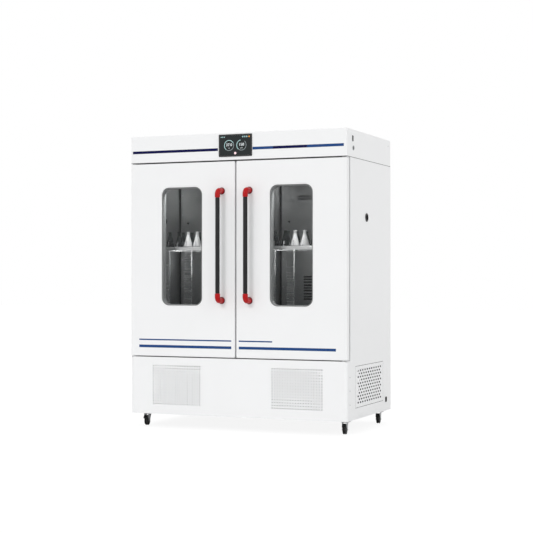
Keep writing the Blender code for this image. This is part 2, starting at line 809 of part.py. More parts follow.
def make_chamber_liners():
    """Stainless boxes, open to the front, with port sleeve, fan motor and ring heater."""
    for name, side in SIDES.items():
        space = chamber_block(0, CORE_FACE - OVERSHOOT, CHAMBER_REAR)
        shell = cut(chamber_block(SHEET, CORE_FACE, CHAMBER_REAR), space)
        sleeve, bore = make_port_sleeve()
        liner = cut(joined(shell, sleeve), bore)
        liner = joined(liner, make_fan_motor(), make_heater())
        add_part(name + "_chamber_liner", mirrored(liner, side), "stainless")


def make_duct_panels():
    """Plates in front of the fans, with return slots above and louvres below."""
    for name, side in SIDES.items():
        plate = block(
            (CHAMBER_INNER + GAP, DUCT_FACE, CHAMBER_FLOOR + GAP),
            (CHAMBER_OUTER - GAP, DUCT_FACE + SHEET, CHAMBER_CEILING - GAP),
        )
        slots = [(BOTTOM + level, DUCT_SLOT_WIDTH) for level in DUCT_SLOT_LEVELS]
        for louvre in range(LOUVRE_BLOCKS):
            for row in range(LOUVRE_ROWS):
                level = LOUVRE_LOWEST + louvre * LOUVRE_BLOCK_PITCH + row * LOUVRE_ROW_PITCH
                slots.append((BOTTOM + level, LOUVRE_WIDTH))
        holes = []
        for level, width in slots:
            holes.append(
                block(
                    (CHAMBER_MIDDLE - width / 2, DUCT_FACE - SHEET, level - DUCT_SLOT_HEIGHT / 2),
                    (CHAMBER_MIDDLE + width / 2, DUCT_FACE + 2 * SHEET, level + DUCT_SLOT_HEIGHT / 2),
                )
            )
        add_part(name + "_duct_panel", mirrored(cut(plate, grouped(holes)), side), "stainless")


# Header fittings


def screen_block(front, rear, grow):
    """The touch screen's rectangle, grown by an amount, as a block."""
    return block(
        (-SCREEN_WIDTH / 2 - grow, front, BOTTOM + SCREEN_MIDDLE - SCREEN_HEIGHT / 2 - grow),
        (SCREEN_WIDTH / 2 + grow, rear, BOTTOM + SCREEN_MIDDLE + SCREEN_HEIGHT / 2 + grow),
    )


def switch_block(inner, outer, grow):
    """The rocker switch's rectangle, grown by an amount, as a block."""
    return block(
        (
            inner,
            FRONT + SWITCH_DEPTH - SWITCH_WIDTH / 2 - grow,
            BOTTOM + SWITCH_HEIGHT - SWITCH_LENGTH / 2 - grow,
        ),
        (
            outer,
            FRONT + SWITCH_DEPTH + SWITCH_WIDTH / 2 + grow,
            BOTTOM + SWITCH_HEIGHT + SWITCH_LENGTH / 2 + grow,
        ),
    )


def inlet_block(inner, outer, grow):
    """The power inlet's rectangle, grown by an amount, as a block."""
    return block(
        (
            inner,
            FRONT + INLET_DEPTH - INLET_WIDTH / 2 - grow,
            BOTTOM + INLET_HEIGHT - INLET_LENGTH / 2 - grow,
        ),
        (
            outer,
            FRONT + INLET_DEPTH + INLET_WIDTH / 2 + grow,
            BOTTOM + INLET_HEIGHT + INLET_LENGTH / 2 + grow,
        ),
    )


def make_display():
    """Touch screen: a bezel with the controller's housing behind it, and the glass in its pocket."""
    middle = BOTTOM + SCREEN_MIDDLE
    half_width = SCREEN_WIDTH / 2
    half_height = SCREEN_HEIGHT / 2
    outline = rounded(-half_width, half_width, middle - half_height, middle + half_height, SCREEN_CORNER)
    rim = prism(outline, FRONT - BEZEL_PROUD, FRONT - GAP, "Y")
    box = screen_block(FRONT - BEZEL_PROUD / 2, FRONT + SCREEN_BOX_DEPTH, -SCREEN_BOX_MARGIN)
    pocket = screen_block(FRONT - 2 * BEZEL_PROUD, FRONT - BEZEL_PROUD + GLASS_POCKET + GAP, -SCREEN_BORDER)
    add_part("display_bezel", cut(joined(rim, box), pocket), "black_plastic")
    glass = screen_block(FRONT - BEZEL_PROUD, FRONT - BEZEL_PROUD + GLASS_POCKET, -SCREEN_BORDER - GAP)
    add_part("display_glass", glass, "screen_glass")


def make_side_fittings():
    """Rocker switch frame and power inlet on the right side."""
    rim = switch_block(SIDE + GAP, SIDE + SWITCH_RIM, 0)
    body = switch_block(SIDE - SWITCH_BODY, SIDE + SWITCH_RIM / 2, -FITTING_RIM)
    well = block(
        (
            SIDE - SWITCH_BODY / 2,
            FRONT + SWITCH_DEPTH - ROCKER_WIDTH / 2 - RUNNING,
            BOTTOM + SWITCH_HEIGHT - ROCKER_LENGTH / 2 - 2 * RUNNING,
        ),
        (
            SIDE + 2 * SWITCH_RIM,
            FRONT + SWITCH_DEPTH + ROCKER_WIDTH / 2 + RUNNING,
            BOTTOM + SWITCH_HEIGHT + ROCKER_LENGTH / 2 + 2 * RUNNING,
        ),
    )
    add_part("switch_frame", cut(joined(rim, body), well), "black_plastic")
    inlet = joined(
        inlet_block(SIDE + GAP, SIDE + FITTING_PROUD, 0),
        inlet_block(SIDE - SWITCH_BODY, SIDE + FITTING_PROUD / 2, -FITTING_RIM),
    )
    inlet = cut(inlet, inlet_block(SIDE - SWITCH_BODY / 2, SIDE + 2 * FITTING_PROUD, -2 * FITTING_RIM))
    add_part("power_inlet", inlet, "black_plastic")


def make_socket():
    """Round socket on the header's right side, joined to the cover."""
    profile = [
        (0, -SWITCH_BODY),
        (SOCKET_BODY_RADIUS, -SWITCH_BODY),
        (SOCKET_BODY_RADIUS, -WELD_OVERLAP),
        (SOCKET_RADIUS, -WELD_OVERLAP),
        (SOCKET_RADIUS, FITTING_PROUD / 2),
        (SOCKET_RADIUS - SOCKET_CHAMFER, FITTING_PROUD),
        (SOCKET_BODY_RADIUS - SOCKET_CHAMFER, FITTING_PROUD),
        (SOCKET_BODY_RADIUS - 1.5 * SOCKET_CHAMFER, WELD_OVERLAP),
        (0, WELD_OVERLAP),
    ]
    return revolve(profile, (SIDE, FRONT + SOCKET_DEPTH, BOTTOM + SOCKET_HEIGHT), 14, "X")


def make_rocker():
    """Dished rocker, resting on its off side."""
    pivot = Vector((SIDE - SWITCH_RIM, FRONT + SWITCH_DEPTH, BOTTOM + SWITCH_HEIGHT))
    half = ROCKER_LENGTH / 2
    crown = 2 * SWITCH_RIM
    outline = [
        (pivot.x - SWITCH_RIM / 2, pivot.z - half / 2),
        (pivot.x + crown / 2, pivot.z - half),
        (pivot.x + crown, pivot.z - half),
        (pivot.x + crown * ROCKER_DISH, pivot.z),
        (pivot.x + crown, pivot.z + half),
        (pivot.x + crown / 2, pivot.z + half),
        (pivot.x - SWITCH_RIM / 2, pivot.z + half / 2),
    ]
    rocker = prism(outline, pivot.y - ROCKER_WIDTH / 2, pivot.y + ROCKER_WIDTH / 2, "Y")
    turn = Matrix.Rotation(math.radians(-ROCKER_TILT), 4, "Y")
    rocker.transform(Matrix.Translation(pivot) @ turn @ Matrix.Translation(-pivot))
    add_part("power_rocker", rocker, "black_plastic", pivot)


def make_port_sleeve():
    """Flanged tube that lines the right chamber's cable port, and the bar that bores it."""
    y = FRONT + PORT_DEPTH
    z = BOTTOM + PORT_HEIGHT
    barrel_start = CHAMBER_OUTER + WELD_OVERLAP
    barrel = prism(circle(y, z, PORT_BORE_RADIUS + PORT_WALL, 16), barrel_start, SIDE + PORT_FLANGE / 2, "X")
    flange = prism(circle(y, z, PORT_FLANGE_RADIUS, 16), SIDE + GAP, SIDE + PORT_FLANGE, "X")
    bore = circle(y, z, PORT_BORE_RADIUS, 16)
    bore = prism(bore, CHAMBER_OUTER - OVERSHOOT, SIDE + OVERSHOOT, "X")
    return joined(barrel, flange), bore


# Doors


def window_outline(grow):
    """The window's rounded outline, grown by an amount."""
    half_width = WINDOW_WIDTH / 2 + grow
    half_height = WINDOW_HEIGHT / 2 + grow
    middle = BOTTOM + WINDOW_MIDDLE
    return rounded(
        WINDOW_X - half_width,
        WINDOW_X + half_width,
        middle - half_height,
        middle + half_height,
        WINDOW_RADIUS + grow,
        4,
    )


def door_block(front, rear, inset):
    """The right door's rectangle, drawn in by an inset, as a block."""
    return block(
        (DOOR_INNER + inset, front, DOOR_BOTTOM + inset),
        (DOOR_OUTER - inset, rear, DOOR_TOP - inset),
    )


def make_door_shell():
    """Folded outer pan with the window's reveal and the holes for the hinge pins."""
    pan = door_block(FRONT, FRONT + DOOR_SHELL_DEPTH, 0)

    def front_edge(direction, middle):
        return middle.y < FRONT + SHEET

    pan = bevelled(pan, DOOR_EDGE_BEVEL, 2, front_edge)
    window = prism(window_outline(0), FRONT - SHEET, FRONT + 2 * DOOR_SHELL_DEPTH, "Y")
    hollow = door_block(FRONT + SHEET, FRONT + 2 * DOOR_SHELL_DEPTH, SHEET)
    reveal = prism(window_outline(SHEET), FRONT, FRONT + 3 * DOOR_SHELL_DEPTH, "Y")
    pin_hole = circle(PIN_X, PIN_Y, PIN_RADIUS + RUNNING, 10)
    pin_hole = prism(pin_hole, DOOR_BOTTOM - OVERSHOOT, DOOR_TOP + OVERSHOOT)
    return cut(pan, window, cut(hollow, reveal), pin_hole)


def make_door_liner():
    """Inner panel: foam core, flange over the pan's rim and raised pad inside the gasket."""
    fit = SHEET + GAP
    core = door_block(FRONT + fit, LINER_START + GAP, fit)
    flange = door_block(LINER_START, LINER_END, DOOR_LINER_INSET)
    pad = door_block(LINER_END - GAP, LINER_END + DOOR_PAD_DEPTH, GASKET_INSET + GASKET_WIDTH + GAP)
    panel = joined(core, flange, pad)
    sleeve = prism(window_outline(fit), FRONT, LINER_START, "Y")
    window = prism(window_outline(0), FRONT, FRONT + 2 * DOOR_SHELL_DEPTH, "Y")
    bush_radius = PIN_RADIUS + 3 * RUNNING
    depth = PIN_ENGAGEMENT + PIN_RADIUS
    bushes = [
        prism(circle(PIN_X, PIN_Y, bush_radius, 10), DOOR_BOTTOM - OVERSHOOT, DOOR_BOTTOM + depth),
        prism(circle(PIN_X, PIN_Y, bush_radius, 10), DOOR_TOP - depth, DOOR_TOP + OVERSHOOT),
    ]
    return cut(panel, sleeve, window, *bushes)


def make_door_gasket():
    """Magnetic gasket, a flat ring that carries the door's seal."""
    low = DOOR_BOTTOM + GASKET_INSET
    high = DOOR_TOP - GASKET_INSET
    left = DOOR_INNER + GASKET_INSET
    right = DOOR_OUTER - GASKET_INSET
    outer = rounded(left, right, low, high, GASKET_CORNER_RADIUS, 3)
    ring = prism(outer, GASKET_START, GASKET_START + GASKET_THICKNESS, "Y")
    width = GASKET_WIDTH
    hole = block(
        (left + width, GASKET_START - OVERSHOOT, low + width),
        (right - width, GASKET_START + GASKET_THICKNESS + OVERSHOOT, high - width),
    )
    return cut(ring, hole)


def make_window_glass():
    """Double glazing: two panes on the spacer that runs round between them."""
    outer = FRONT + GLASS_RECESS
    inner = LINER_END + DOOR_PAD_DEPTH - GLASS_RECESS
    panes = []
    for start in (outer, inner - GLASS_THICKNESS):
        panes.append(prism(window_outline(-GAP), start, start + GLASS_THICKNESS, "Y"))
    first = outer + GLASS_THICKNESS - WELD_OVERLAP
    last = inner - GLASS_THICKNESS + WELD_OVERLAP
    spacer = prism(window_outline(-GAP), first, last, "Y")
    opening = prism(window_outline(-GAP - SPACER_WIDTH), first - OVERSHOOT, last + OVERSHOOT, "Y")
    vent = circle(WINDOW_X, (first + last) / 2, SPACER_VENT_RADIUS, 8)
    low = BOTTOM + WINDOW_MIDDLE - WINDOW_HEIGHT / 2
    vent = prism(vent, low - SPACER_WIDTH, low + 2 * SPACER_WIDTH)
    return cut(joined(panes[0], cut(spacer, opening), panes[1]), vent)


def elbow_path(up):
    """Middle line of an elbow: straight out of the door, a quarter bend, then along the grip."""
    middle = BOTTOM + HANDLE_MIDDLE
    level = middle + up * HANDLE_LENGTH / 2
    out = FRONT - HANDLE_STANDOFF
    path = [(HANDLE_X, FRONT - GAP, level), (HANDLE_X, out + ELBOW_BEND, level)]
    for step in range(1, ELBOW_STEPS + 1):
        angle = math.radians(90 * step / ELBOW_STEPS)
        y = out + ELBOW_BEND - ELBOW_BEND * math.sin(angle)
        z = level - up * ELBOW_BEND * (1 - math.cos(angle))
        path.append((HANDLE_X, y, z))
    path.append((HANDLE_X, out, level - up * ELBOW_LEG))
    return path


def make_handle_elbow(up):
    """Upper or lower elbow with the flange that screws to the door."""
    level = BOTTOM + HANDLE_MIDDLE + up * HANDLE_LENGTH / 2
    rim = HANDLE_FLANGE_RADIUS
    profile = [
        (0, HANDLE_FLANGE_THICKNESS),
        (rim, HANDLE_FLANGE_THICKNESS),
        (rim, HANDLE_FLANGE_CHAMFER),
        (rim - HANDLE_FLANGE_CHAMFER, 0),
        (0, 0),
    ]
    base = (HANDLE_X, FRONT - GAP - HANDLE_FLANGE_THICKNESS, level)
    return joined(tube(elbow_path(up), ELBOW_RADIUS, 12), revolve(profile, base, 14, "Y"))


def make_upper_elbow():
    """Elbow at the top of the grip."""
    return make_handle_elbow(1)


def make_lower_elbow():
    """Elbow at the bottom of the grip."""
    return make_handle_elbow(-1)


def make_handle_grip():
    """Straight grip between the elbows."""
    half = HANDLE_LENGTH / 2 - ELBOW_LEG - GAP
    middle = BOTTOM + HANDLE_MIDDLE
    outline = circle(HANDLE_X, FRONT - HANDLE_STANDOFF, GRIP_RADIUS, 16)
    return prism(outline, middle - half, middle + half)


def make_doors():
    """Both doors, built for the right side and mirrored for the left."""
    pieces = [
        ("door_shell", make_door_shell, "white_paint", False),
        ("door_liner", make_door_liner, "liner_plastic", False),
        ("door_gasket", make_door_gasket, "black_rubber", False),
        ("window_glass", make_window_glass, "tinted_glass", False),
        ("upper_handle_elbow", make_upper_elbow, "red_plastic", True),
        ("lower_handle_elbow", make_lower_elbow, "red_plastic", True),
        ("handle_grip", make_handle_grip, "black_rubber", True),
    ]
    for name, side in SIDES.items():
        pivot = (side * PIN_X, PIN_Y, DOOR_BOTTOM)
        frame = add_joint_frame(name + "_door_pivot", pivot)
        for piece, make, finish_name, smooth in pieces:
            part = add_part(name + "_" + piece, mirrored(make(), side), finish_name, pivot, smooth)
            hang(part, frame)


# Casters


def make_casters():
    """Four swivel casters, each a fork, a wheel and a brake pedal under its plate."""
    plate_bottom = BOTTOM - CASTER_PLATE_THICKNESS
    for place, degrees in CASTER_TURN.items():
        x, y = caster_place(place)
        turn = Matrix.Translation((x, y, 0)) @ Matrix.Rotation(math.radians(degrees), 4, "Z")
        swivel = add_joint_frame(place + "_caster_swivel", (x, y, plate_bottom))
        fork = make_fork(plate_bottom - GAP)
        fork.transform(turn)
        hang(add_part(place + "_caster_fork", fork, "zinc", (x, y, plate_bottom)), swivel)
        axle = turn @ Vector((-CASTER_TRAIL, 0, AXLE_Z))
        wheel = make_wheel()
        wheel.transform(turn)
        hang(add_part(place + "_caster_wheel", wheel, "black_rubber", axle, True), swivel)
        pedal, hinge = make_pedal(plate_bottom - GAP)
        pedal.transform(turn)
        hang(add_part(place + "_brake_pedal", pedal, "black_plastic", turn @ hinge), swivel)


def make_fork(top):
    """Swivel crown with two legs and the axle, its trail along -X."""
    crown = prism(circle(0, 0, CROWN_RADIUS, 12), top - CROWN_THICKNESS, top)
    inner = WHEEL_WIDTH / 2 + FORK_CLEARANCE
    shoulder = top - CROWN_THICKNESS / 2
    side_view = [
        (FORK_NOSE, shoulder),
        (-FORK_TAIL, shoulder),
        (-FORK_TAIL, shoulder - FORK_TAIL_DEPTH),
        (-CASTER_TRAIL - FORK_FOOT, AXLE_Z + AXLE_RADIUS),
        (-CASTER_TRAIL - FORK_FOOT / 2, AXLE_Z - FORK_SOLE),
        (-CASTER_TRAIL + FORK_FOOT / 2, AXLE_Z - FORK_SOLE),
        (-CASTER_TRAIL + FORK_FOOT, AXLE_Z + AXLE_RADIUS),
    ]
    legs = []
    for sign in (-1, 1):
        faces = sorted((sign * inner, sign * (inner + FORK_LEG)))
        legs.append(prism(side_view, faces[0], faces[1], "Y"))
    reach = inner + AXLE_HEAD
    axle = prism(circle(-CASTER_TRAIL, AXLE_Z, AXLE_RADIUS, 8), -reach, reach, "Y")
    return joined(crown, *legs, axle)


def make_wheel():
    """Tyred wheel standing on a flat of its own, with a bore for the axle."""
    half = WHEEL_WIDTH / 2
    turn = 90 - 180 / WHEEL_SIDES
    wheel = prism(circle(-CASTER_TRAIL, AXLE_Z, WHEEL_RADIUS, WHEEL_SIDES, turn), -half, half, "Y")

    def rim(direction, middle):
        return abs(direction.y) < 0.5

    wheel = bevelled(wheel, WHEEL_BEVEL, 1, rim)
    bore = prism(circle(-CASTER_TRAIL, AXLE_Z, AXLE_RADIUS + RUNNING, 8), -2 * half, 2 * half, "Y")
    return cut(wheel, bore)


def make_pedal(top):
    """Brake pedal between the fork's legs, and the place of its hinge."""
    hinge = Vector((PEDAL_HINGE_X, 0, top - PEDAL_HINGE_DROP))
    half = WHEEL_WIDTH / 2 + FORK_CLEARANCE - GAP
    root = hinge.x + PEDAL_THICKNESS / 2
    tip = hinge.x - PEDAL_REACH
    bend = hinge.x - PEDAL_BEND
    upper = hinge.z + PEDAL_THICKNESS / 2
    lower = hinge.z - PEDAL_THICKNESS / 2
    side_view = [
        (root, upper),
        (bend, upper + PEDAL_THICKNESS / 4),
        (tip, upper - PEDAL_DROP),
        (tip, lower - PEDAL_DROP),
        (bend, lower),
        (root, lower),
    ]
    return prism(side_view, -half, half, "Y"), hinge


# Orbital drive, rack and flasks


def drive_places(side):
    """Axes of the drive crank and the idler crank in one chamber."""
    x = side * CHAMBER_MIDDLE
    return {"drive_crank": Vector((x, CRANK_Y, 0)), "idler_crank": Vector((x + IDLER_OFFSET, CRANK_Y, 0))}


def make_drive_housings():
    """Motor housings on the chamber floors, bored for the cranks' journals."""
    low = CHAMBER_FLOOR + GAP
    for name, side in SIDES.items():
        x = side * CHAMBER_MIDDLE
        outline = rounded(
            x - DRIVE_WIDTH / 2,
            x + DRIVE_WIDTH / 2,
            RACK_Y - DRIVE_DEPTH / 2,
            RACK_Y + DRIVE_DEPTH / 2,
            DRIVE_CORNER,
            3,
        )
        body = prism(outline, low, DRIVE_TOP)

        def top_edge(direction, middle):
            return middle.z > DRIVE_TOP - SHEET

        body = bevelled(body, DRIVE_EDGE, 2, top_edge)
        bores = []
        for place in drive_places(side).values():
            outline = circle(place.x, place.y, JOURNAL_RADIUS + RUNNING, 14)
            bores.append(prism(outline, DRIVE_TOP - JOURNAL_LENGTH - GAP, DRIVE_TOP + OVERSHOOT))
        add_part(name + "_drive_housing", cut(body, *bores), "grey_paint")


def make_cranks():
    """Drive and idler cranks: journal, round web and eccentric pin."""
    for name, side in SIDES.items():
        for crank, place in drive_places(side).items():
            journal = prism(
                circle(place.x, place.y, JOURNAL_RADIUS, 14),
                DRIVE_TOP - JOURNAL_LENGTH,
                CRANK_WEB_BOTTOM + CRANK_WEB_THICKNESS / 2,
            )
            web = prism(circle(place.x, place.y, CRANK_WEB_RADIUS, 20), CRANK_WEB_BOTTOM, CRANK_WEB_TOP)
            pin = prism(
                circle(place.x, place.y + ORBIT_RADIUS, CRANK_PIN_RADIUS, 12),
                CRANK_WEB_TOP - CRANK_WEB_THICKNESS / 2,
                CRANK_WEB_TOP + CRANK_PIN_LENGTH,
            )
            origin = (place.x, place.y, DRIVE_TOP)
            add_part(name + "_" + crank, joined(web, journal, pin), "zinc", origin, True)


def rack_outline(x, y, inset):
    """The decks' rounded outline about a middle, drawn in by an inset."""
    half_width = RACK_WIDTH / 2 - inset
    half_depth = RACK_DEPTH / 2 - inset
    return rounded(x - half_width, x + half_width, y - half_depth, y + half_depth, RACK_CORNER - inset, 4)


def make_deck(x, y, top):
    """Deck pressed from sheet, its lip turned down all round."""
    deck = prism(rack_outline(x, y, 0), top - DECK_LIP, top)
    hollow = prism(rack_outline(x, y, DECK_THICKNESS), top - 2 * DECK_LIP, top - DECK_THICKNESS)
    return cut(deck, hollow)


def make_post(x, y, across, back):
    """Channel post: a web across the front of the post and two flanges."""
    half = POST_WIDTH / 2
    middle = x + across * (RACK_WIDTH / 2 - POST_INSET_X - half)
    web = y + back * (RACK_DEPTH / 2 - POST_INSET_Y - POST_FLANGE)
    tip = web + back * POST_FLANGE
    inner = web + back * POST_SHEET
    wall = POST_SHEET
    outline = [
        (middle - half, web),
        (middle + half, web),
        (middle + half, tip),
        (middle + half - wall, tip),
        (middle + half - wall, inner),
        (middle - half + wall, inner),
        (middle - half + wall, tip),
        (middle - half, tip),
    ]
    return prism(outline, LOWER_DECK - DECK_THICKNESS / 2, UPPER_DECK - DECK_THICKNESS / 2)


def make_racks():
    """Double-deck racks on the eccentric pins, each with two bearing cups under its lower deck."""
    for name, side in SIDES.items():
        places = drive_places(side)
        x = places["drive_crank"].x
        posts = [make_post(x, RACK_Y, across, back) for across in (-1, 1) for back in (-1, 1)]
        cups = []
        bores = []
        low = CRANK_WEB_TOP + BEARING_LIFT
        for place in places.values():
            pin_y = place.y + ORBIT_RADIUS
            cup = CRANK_PIN_RADIUS + RUNNING + BEARING_WALL
            cups.append(prism(circle(place.x, pin_y, cup, 12), low, LOWER_DECK - DECK_THICKNESS / 2))
            bore = circle(place.x, pin_y, CRANK_PIN_RADIUS + RUNNING, 12)
            bores.append(prism(bore, low - OVERSHOOT, CRANK_WEB_TOP + CRANK_PIN_LENGTH + BEARING_LIFT))
        decks = [make_deck(x, RACK_Y, LOWER_DECK), make_deck(x, RACK_Y, UPPER_DECK)]
        rack = cut(joined(*decks, *posts, *cups), *bores)
        pin_axis = (x, RACK_Y, CRANK_WEB_TOP)
        frame = add_joint_frame(name + "_rack_pivot", pin_axis)
        hang(add_part(name + "_rack", rack, "stainless", pin_axis), frame)
        flasks = make_clamped_flasks(flask_spots(x, RACK_Y))
        hang(add_part(name + "_clamped_flasks", flasks, "clear_glass", pin_axis, True), frame)


def flask_spots(x, y):
    """Middles of the flasks: staggered rows from the front of the upper deck."""
    spots = []
    for row in range(FLASK_ROWS):
        columns = FLASK_COLUMNS - row % 2
        for column in range(columns):
            spot_x = x + (column - (columns - 1) / 2) * FLASK_PITCH
            spots.append((spot_x, y - RACK_DEPTH / 2 + FLASK_ROW_START + row * FLASK_ROW_PITCH))
    return spots


def make_flask(x, y):
    """Conical flask with its closure, resting on the clamp's plate."""
    profile = [
        (0, 0),
        (FLASK_RADIUS, 0),
        (FLASK_RADIUS, FLASK_WAIST),
        (FLASK_NECK_RADIUS, FLASK_BODY_HEIGHT),
        (FLASK_NECK_RADIUS, FLASK_HEIGHT - FLASK_LIP_HEIGHT),
        (FLASK_LIP_RADIUS, FLASK_HEIGHT - FLASK_LIP_HEIGHT),
        (FLASK_LIP_RADIUS, FLASK_HEIGHT),
        (0, FLASK_HEIGHT),
    ]
    foot = UPPER_DECK + GAP + CLAMP_PLATE - WELD_OVERLAP
    return revolve(profile, (x, y, foot), FLASK_SIDES)


def make_clamp_arms(x, y):
    """Four spring arms that lean in against the flask's cone."""
    foot = UPPER_DECK + GAP
    top = foot + CLAMP_ARM_HEIGHT
    waist = foot + CLAMP_PLATE + FLASK_WAIST
    low = foot + CLAMP_PLATE / 2
    lean = math.tan(math.radians(CLAMP_ARM_TILT))
    low_inner = FLASK_RADIUS + GAP + lean * (waist - low)
    top_inner = FLASK_RADIUS + GAP - lean * (top - waist)
    thickness = CLAMP_ARM_THICKNESS
    arm = [(low_inner, low), (low_inner + thickness, low), (top_inner + thickness, top), (top_inner, top)]
    arms = []
    for quarter in range(4):
        strip = prism(arm, -CLAMP_ARM_WIDTH / 2, CLAMP_ARM_WIDTH / 2, "Y")
        strip.transform(Matrix.Translation((x, y, 0)) @ Matrix.Rotation(math.radians(90 * quarter), 4, "Z"))
        arms.append(strip)
    return arms


def make_clamped_flasks(spots):
    """Clamp plate with its spring arms, and the flasks that stand in them."""
    foot = UPPER_DECK + GAP
    all_x = [x for x, y in spots]
    all_y = [y for x, y in spots]
    plate = block(
        (min(all_x) - CLAMP_HALF_WIDTH, min(all_y) - CLAMP_HALF_WIDTH, foot),
        (max(all_x) + CLAMP_HALF_WIDTH, max(all_y) + CLAMP_HALF_WIDTH, foot + CLAMP_PLATE),
    )
    arms = grouped([arm for spot in spots for arm in make_clamp_arms(*spot)])
    flasks = grouped([make_flask(*spot) for spot in spots])
    return joined(plate, arms, flasks)


# Air system


def make_fan(centre, radius, hub_radius, depth, shaft_radius, shaft_length):
    """Axial fan about a Y axis: round hub, raked blades and a shaft to the rear."""
    x, y, z = centre
    hub = prism(circle(x, z, hub_radius, 12), y, y + depth, "Y")
    shaft = prism(circle(x, z, shaft_radius, 10), y + depth / 2, y + depth + shaft_length, "Y")
    blades = []
    for blade in range(FAN_BLADES):
        half = FAN_BLADE_THICKNESS / 2
        rake = depth * FAN_RAKE
        start = depth * FAN_BLADE_START
        outline = [
            (-rake - half, start),
            (-rake + half, start),
            (rake + half, depth - start),
            (rake - half, depth - start),
        ]
        strip = prism(outline, hub_radius * FAN_BLADE_ROOT, radius)
        strip.transform(
            Matrix.Translation((x, y, z)) @ Matrix.Rotation(math.tau * blade / FAN_BLADES, 4, "Y")
        )
        blades.append(strip)
    return joined(hub, shaft, *blades)


def make_fan_motor():
    """Fan motor on the right chamber's rear wall, bored for the fan's shaft."""
    x = CHAMBER_MIDDLE
    level = BOTTOM + FAN_LEVEL
    front = CHAMBER_REAR - FAN_MOTOR_LENGTH
    motor = prism(circle(x, level, FAN_MOTOR_RADIUS, 14), front, CHAMBER_REAR + WELD_OVERLAP, "Y")
    bore = circle(x, level, FAN_SHAFT_RADIUS + RUNNING, 10)
    return cut(motor, prism(bore, front - OVERSHOOT, front + FAN_SHAFT_LENGTH + GAP, "Y"))


def make_heater():
    """Ring heater round the fan motor, on two studs that stand on the rear wall."""
    x = CHAMBER_MIDDLE
    y = CHAMBER_REAR - HEATER_FROM_WALL
    z = BOTTOM + FAN_LEVEL
    ring = bmesh.new()
    section = []
    for u, v in circle(0, 0, HEATER_TUBE_RADIUS, 5):
        section.append(ring.verts.new((HEATER_RADIUS + u, 0, v)))
    edges = [ring.edges.new(pair) for pair in zip(section, section[1:] + section[:1])]
    bmesh.ops.spin(ring, geom=section + edges, cent=(0, 0, 0), axis=(0, 0, 1), angle=math.tau, steps=16)
    bmesh.ops.remove_doubles(ring, verts=ring.verts, dist=0.00002)
    bmesh.ops.recalc_face_normals(ring, faces=ring.faces)
    ring.transform(Matrix.Translation((x, y, z)) @ Matrix.Rotation(math.radians(90), 4, "X"))
    studs = []
    for sign in (-1, 1):
        outline = circle(x + sign * HEATER_RADIUS, z, HEATER_STUD_RADIUS, 6)
        studs.append(prism(outline, y, CHAMBER_REAR + WELD_OVERLAP, "Y"))
    return joined(ring, *studs)


def make_circulation_fans():
    """Fans on the motors behind the duct panels."""
    rear = CHAMBER_REAR - FAN_MOTOR_LENGTH - GAP
    for name, side in SIDES.items():
        centre = (side * CHAMBER_MIDDLE, rear - FAN_DEPTH, BOTTOM + FAN_LEVEL)
        fan = make_fan(centre, FAN_RADIUS, FAN_HUB_RADIUS, FAN_DEPTH, FAN_SHAFT_RADIUS, FAN_SHAFT_LENGTH)
        add_part(name + "_circulation_fan", fan, "black_plastic", centre)


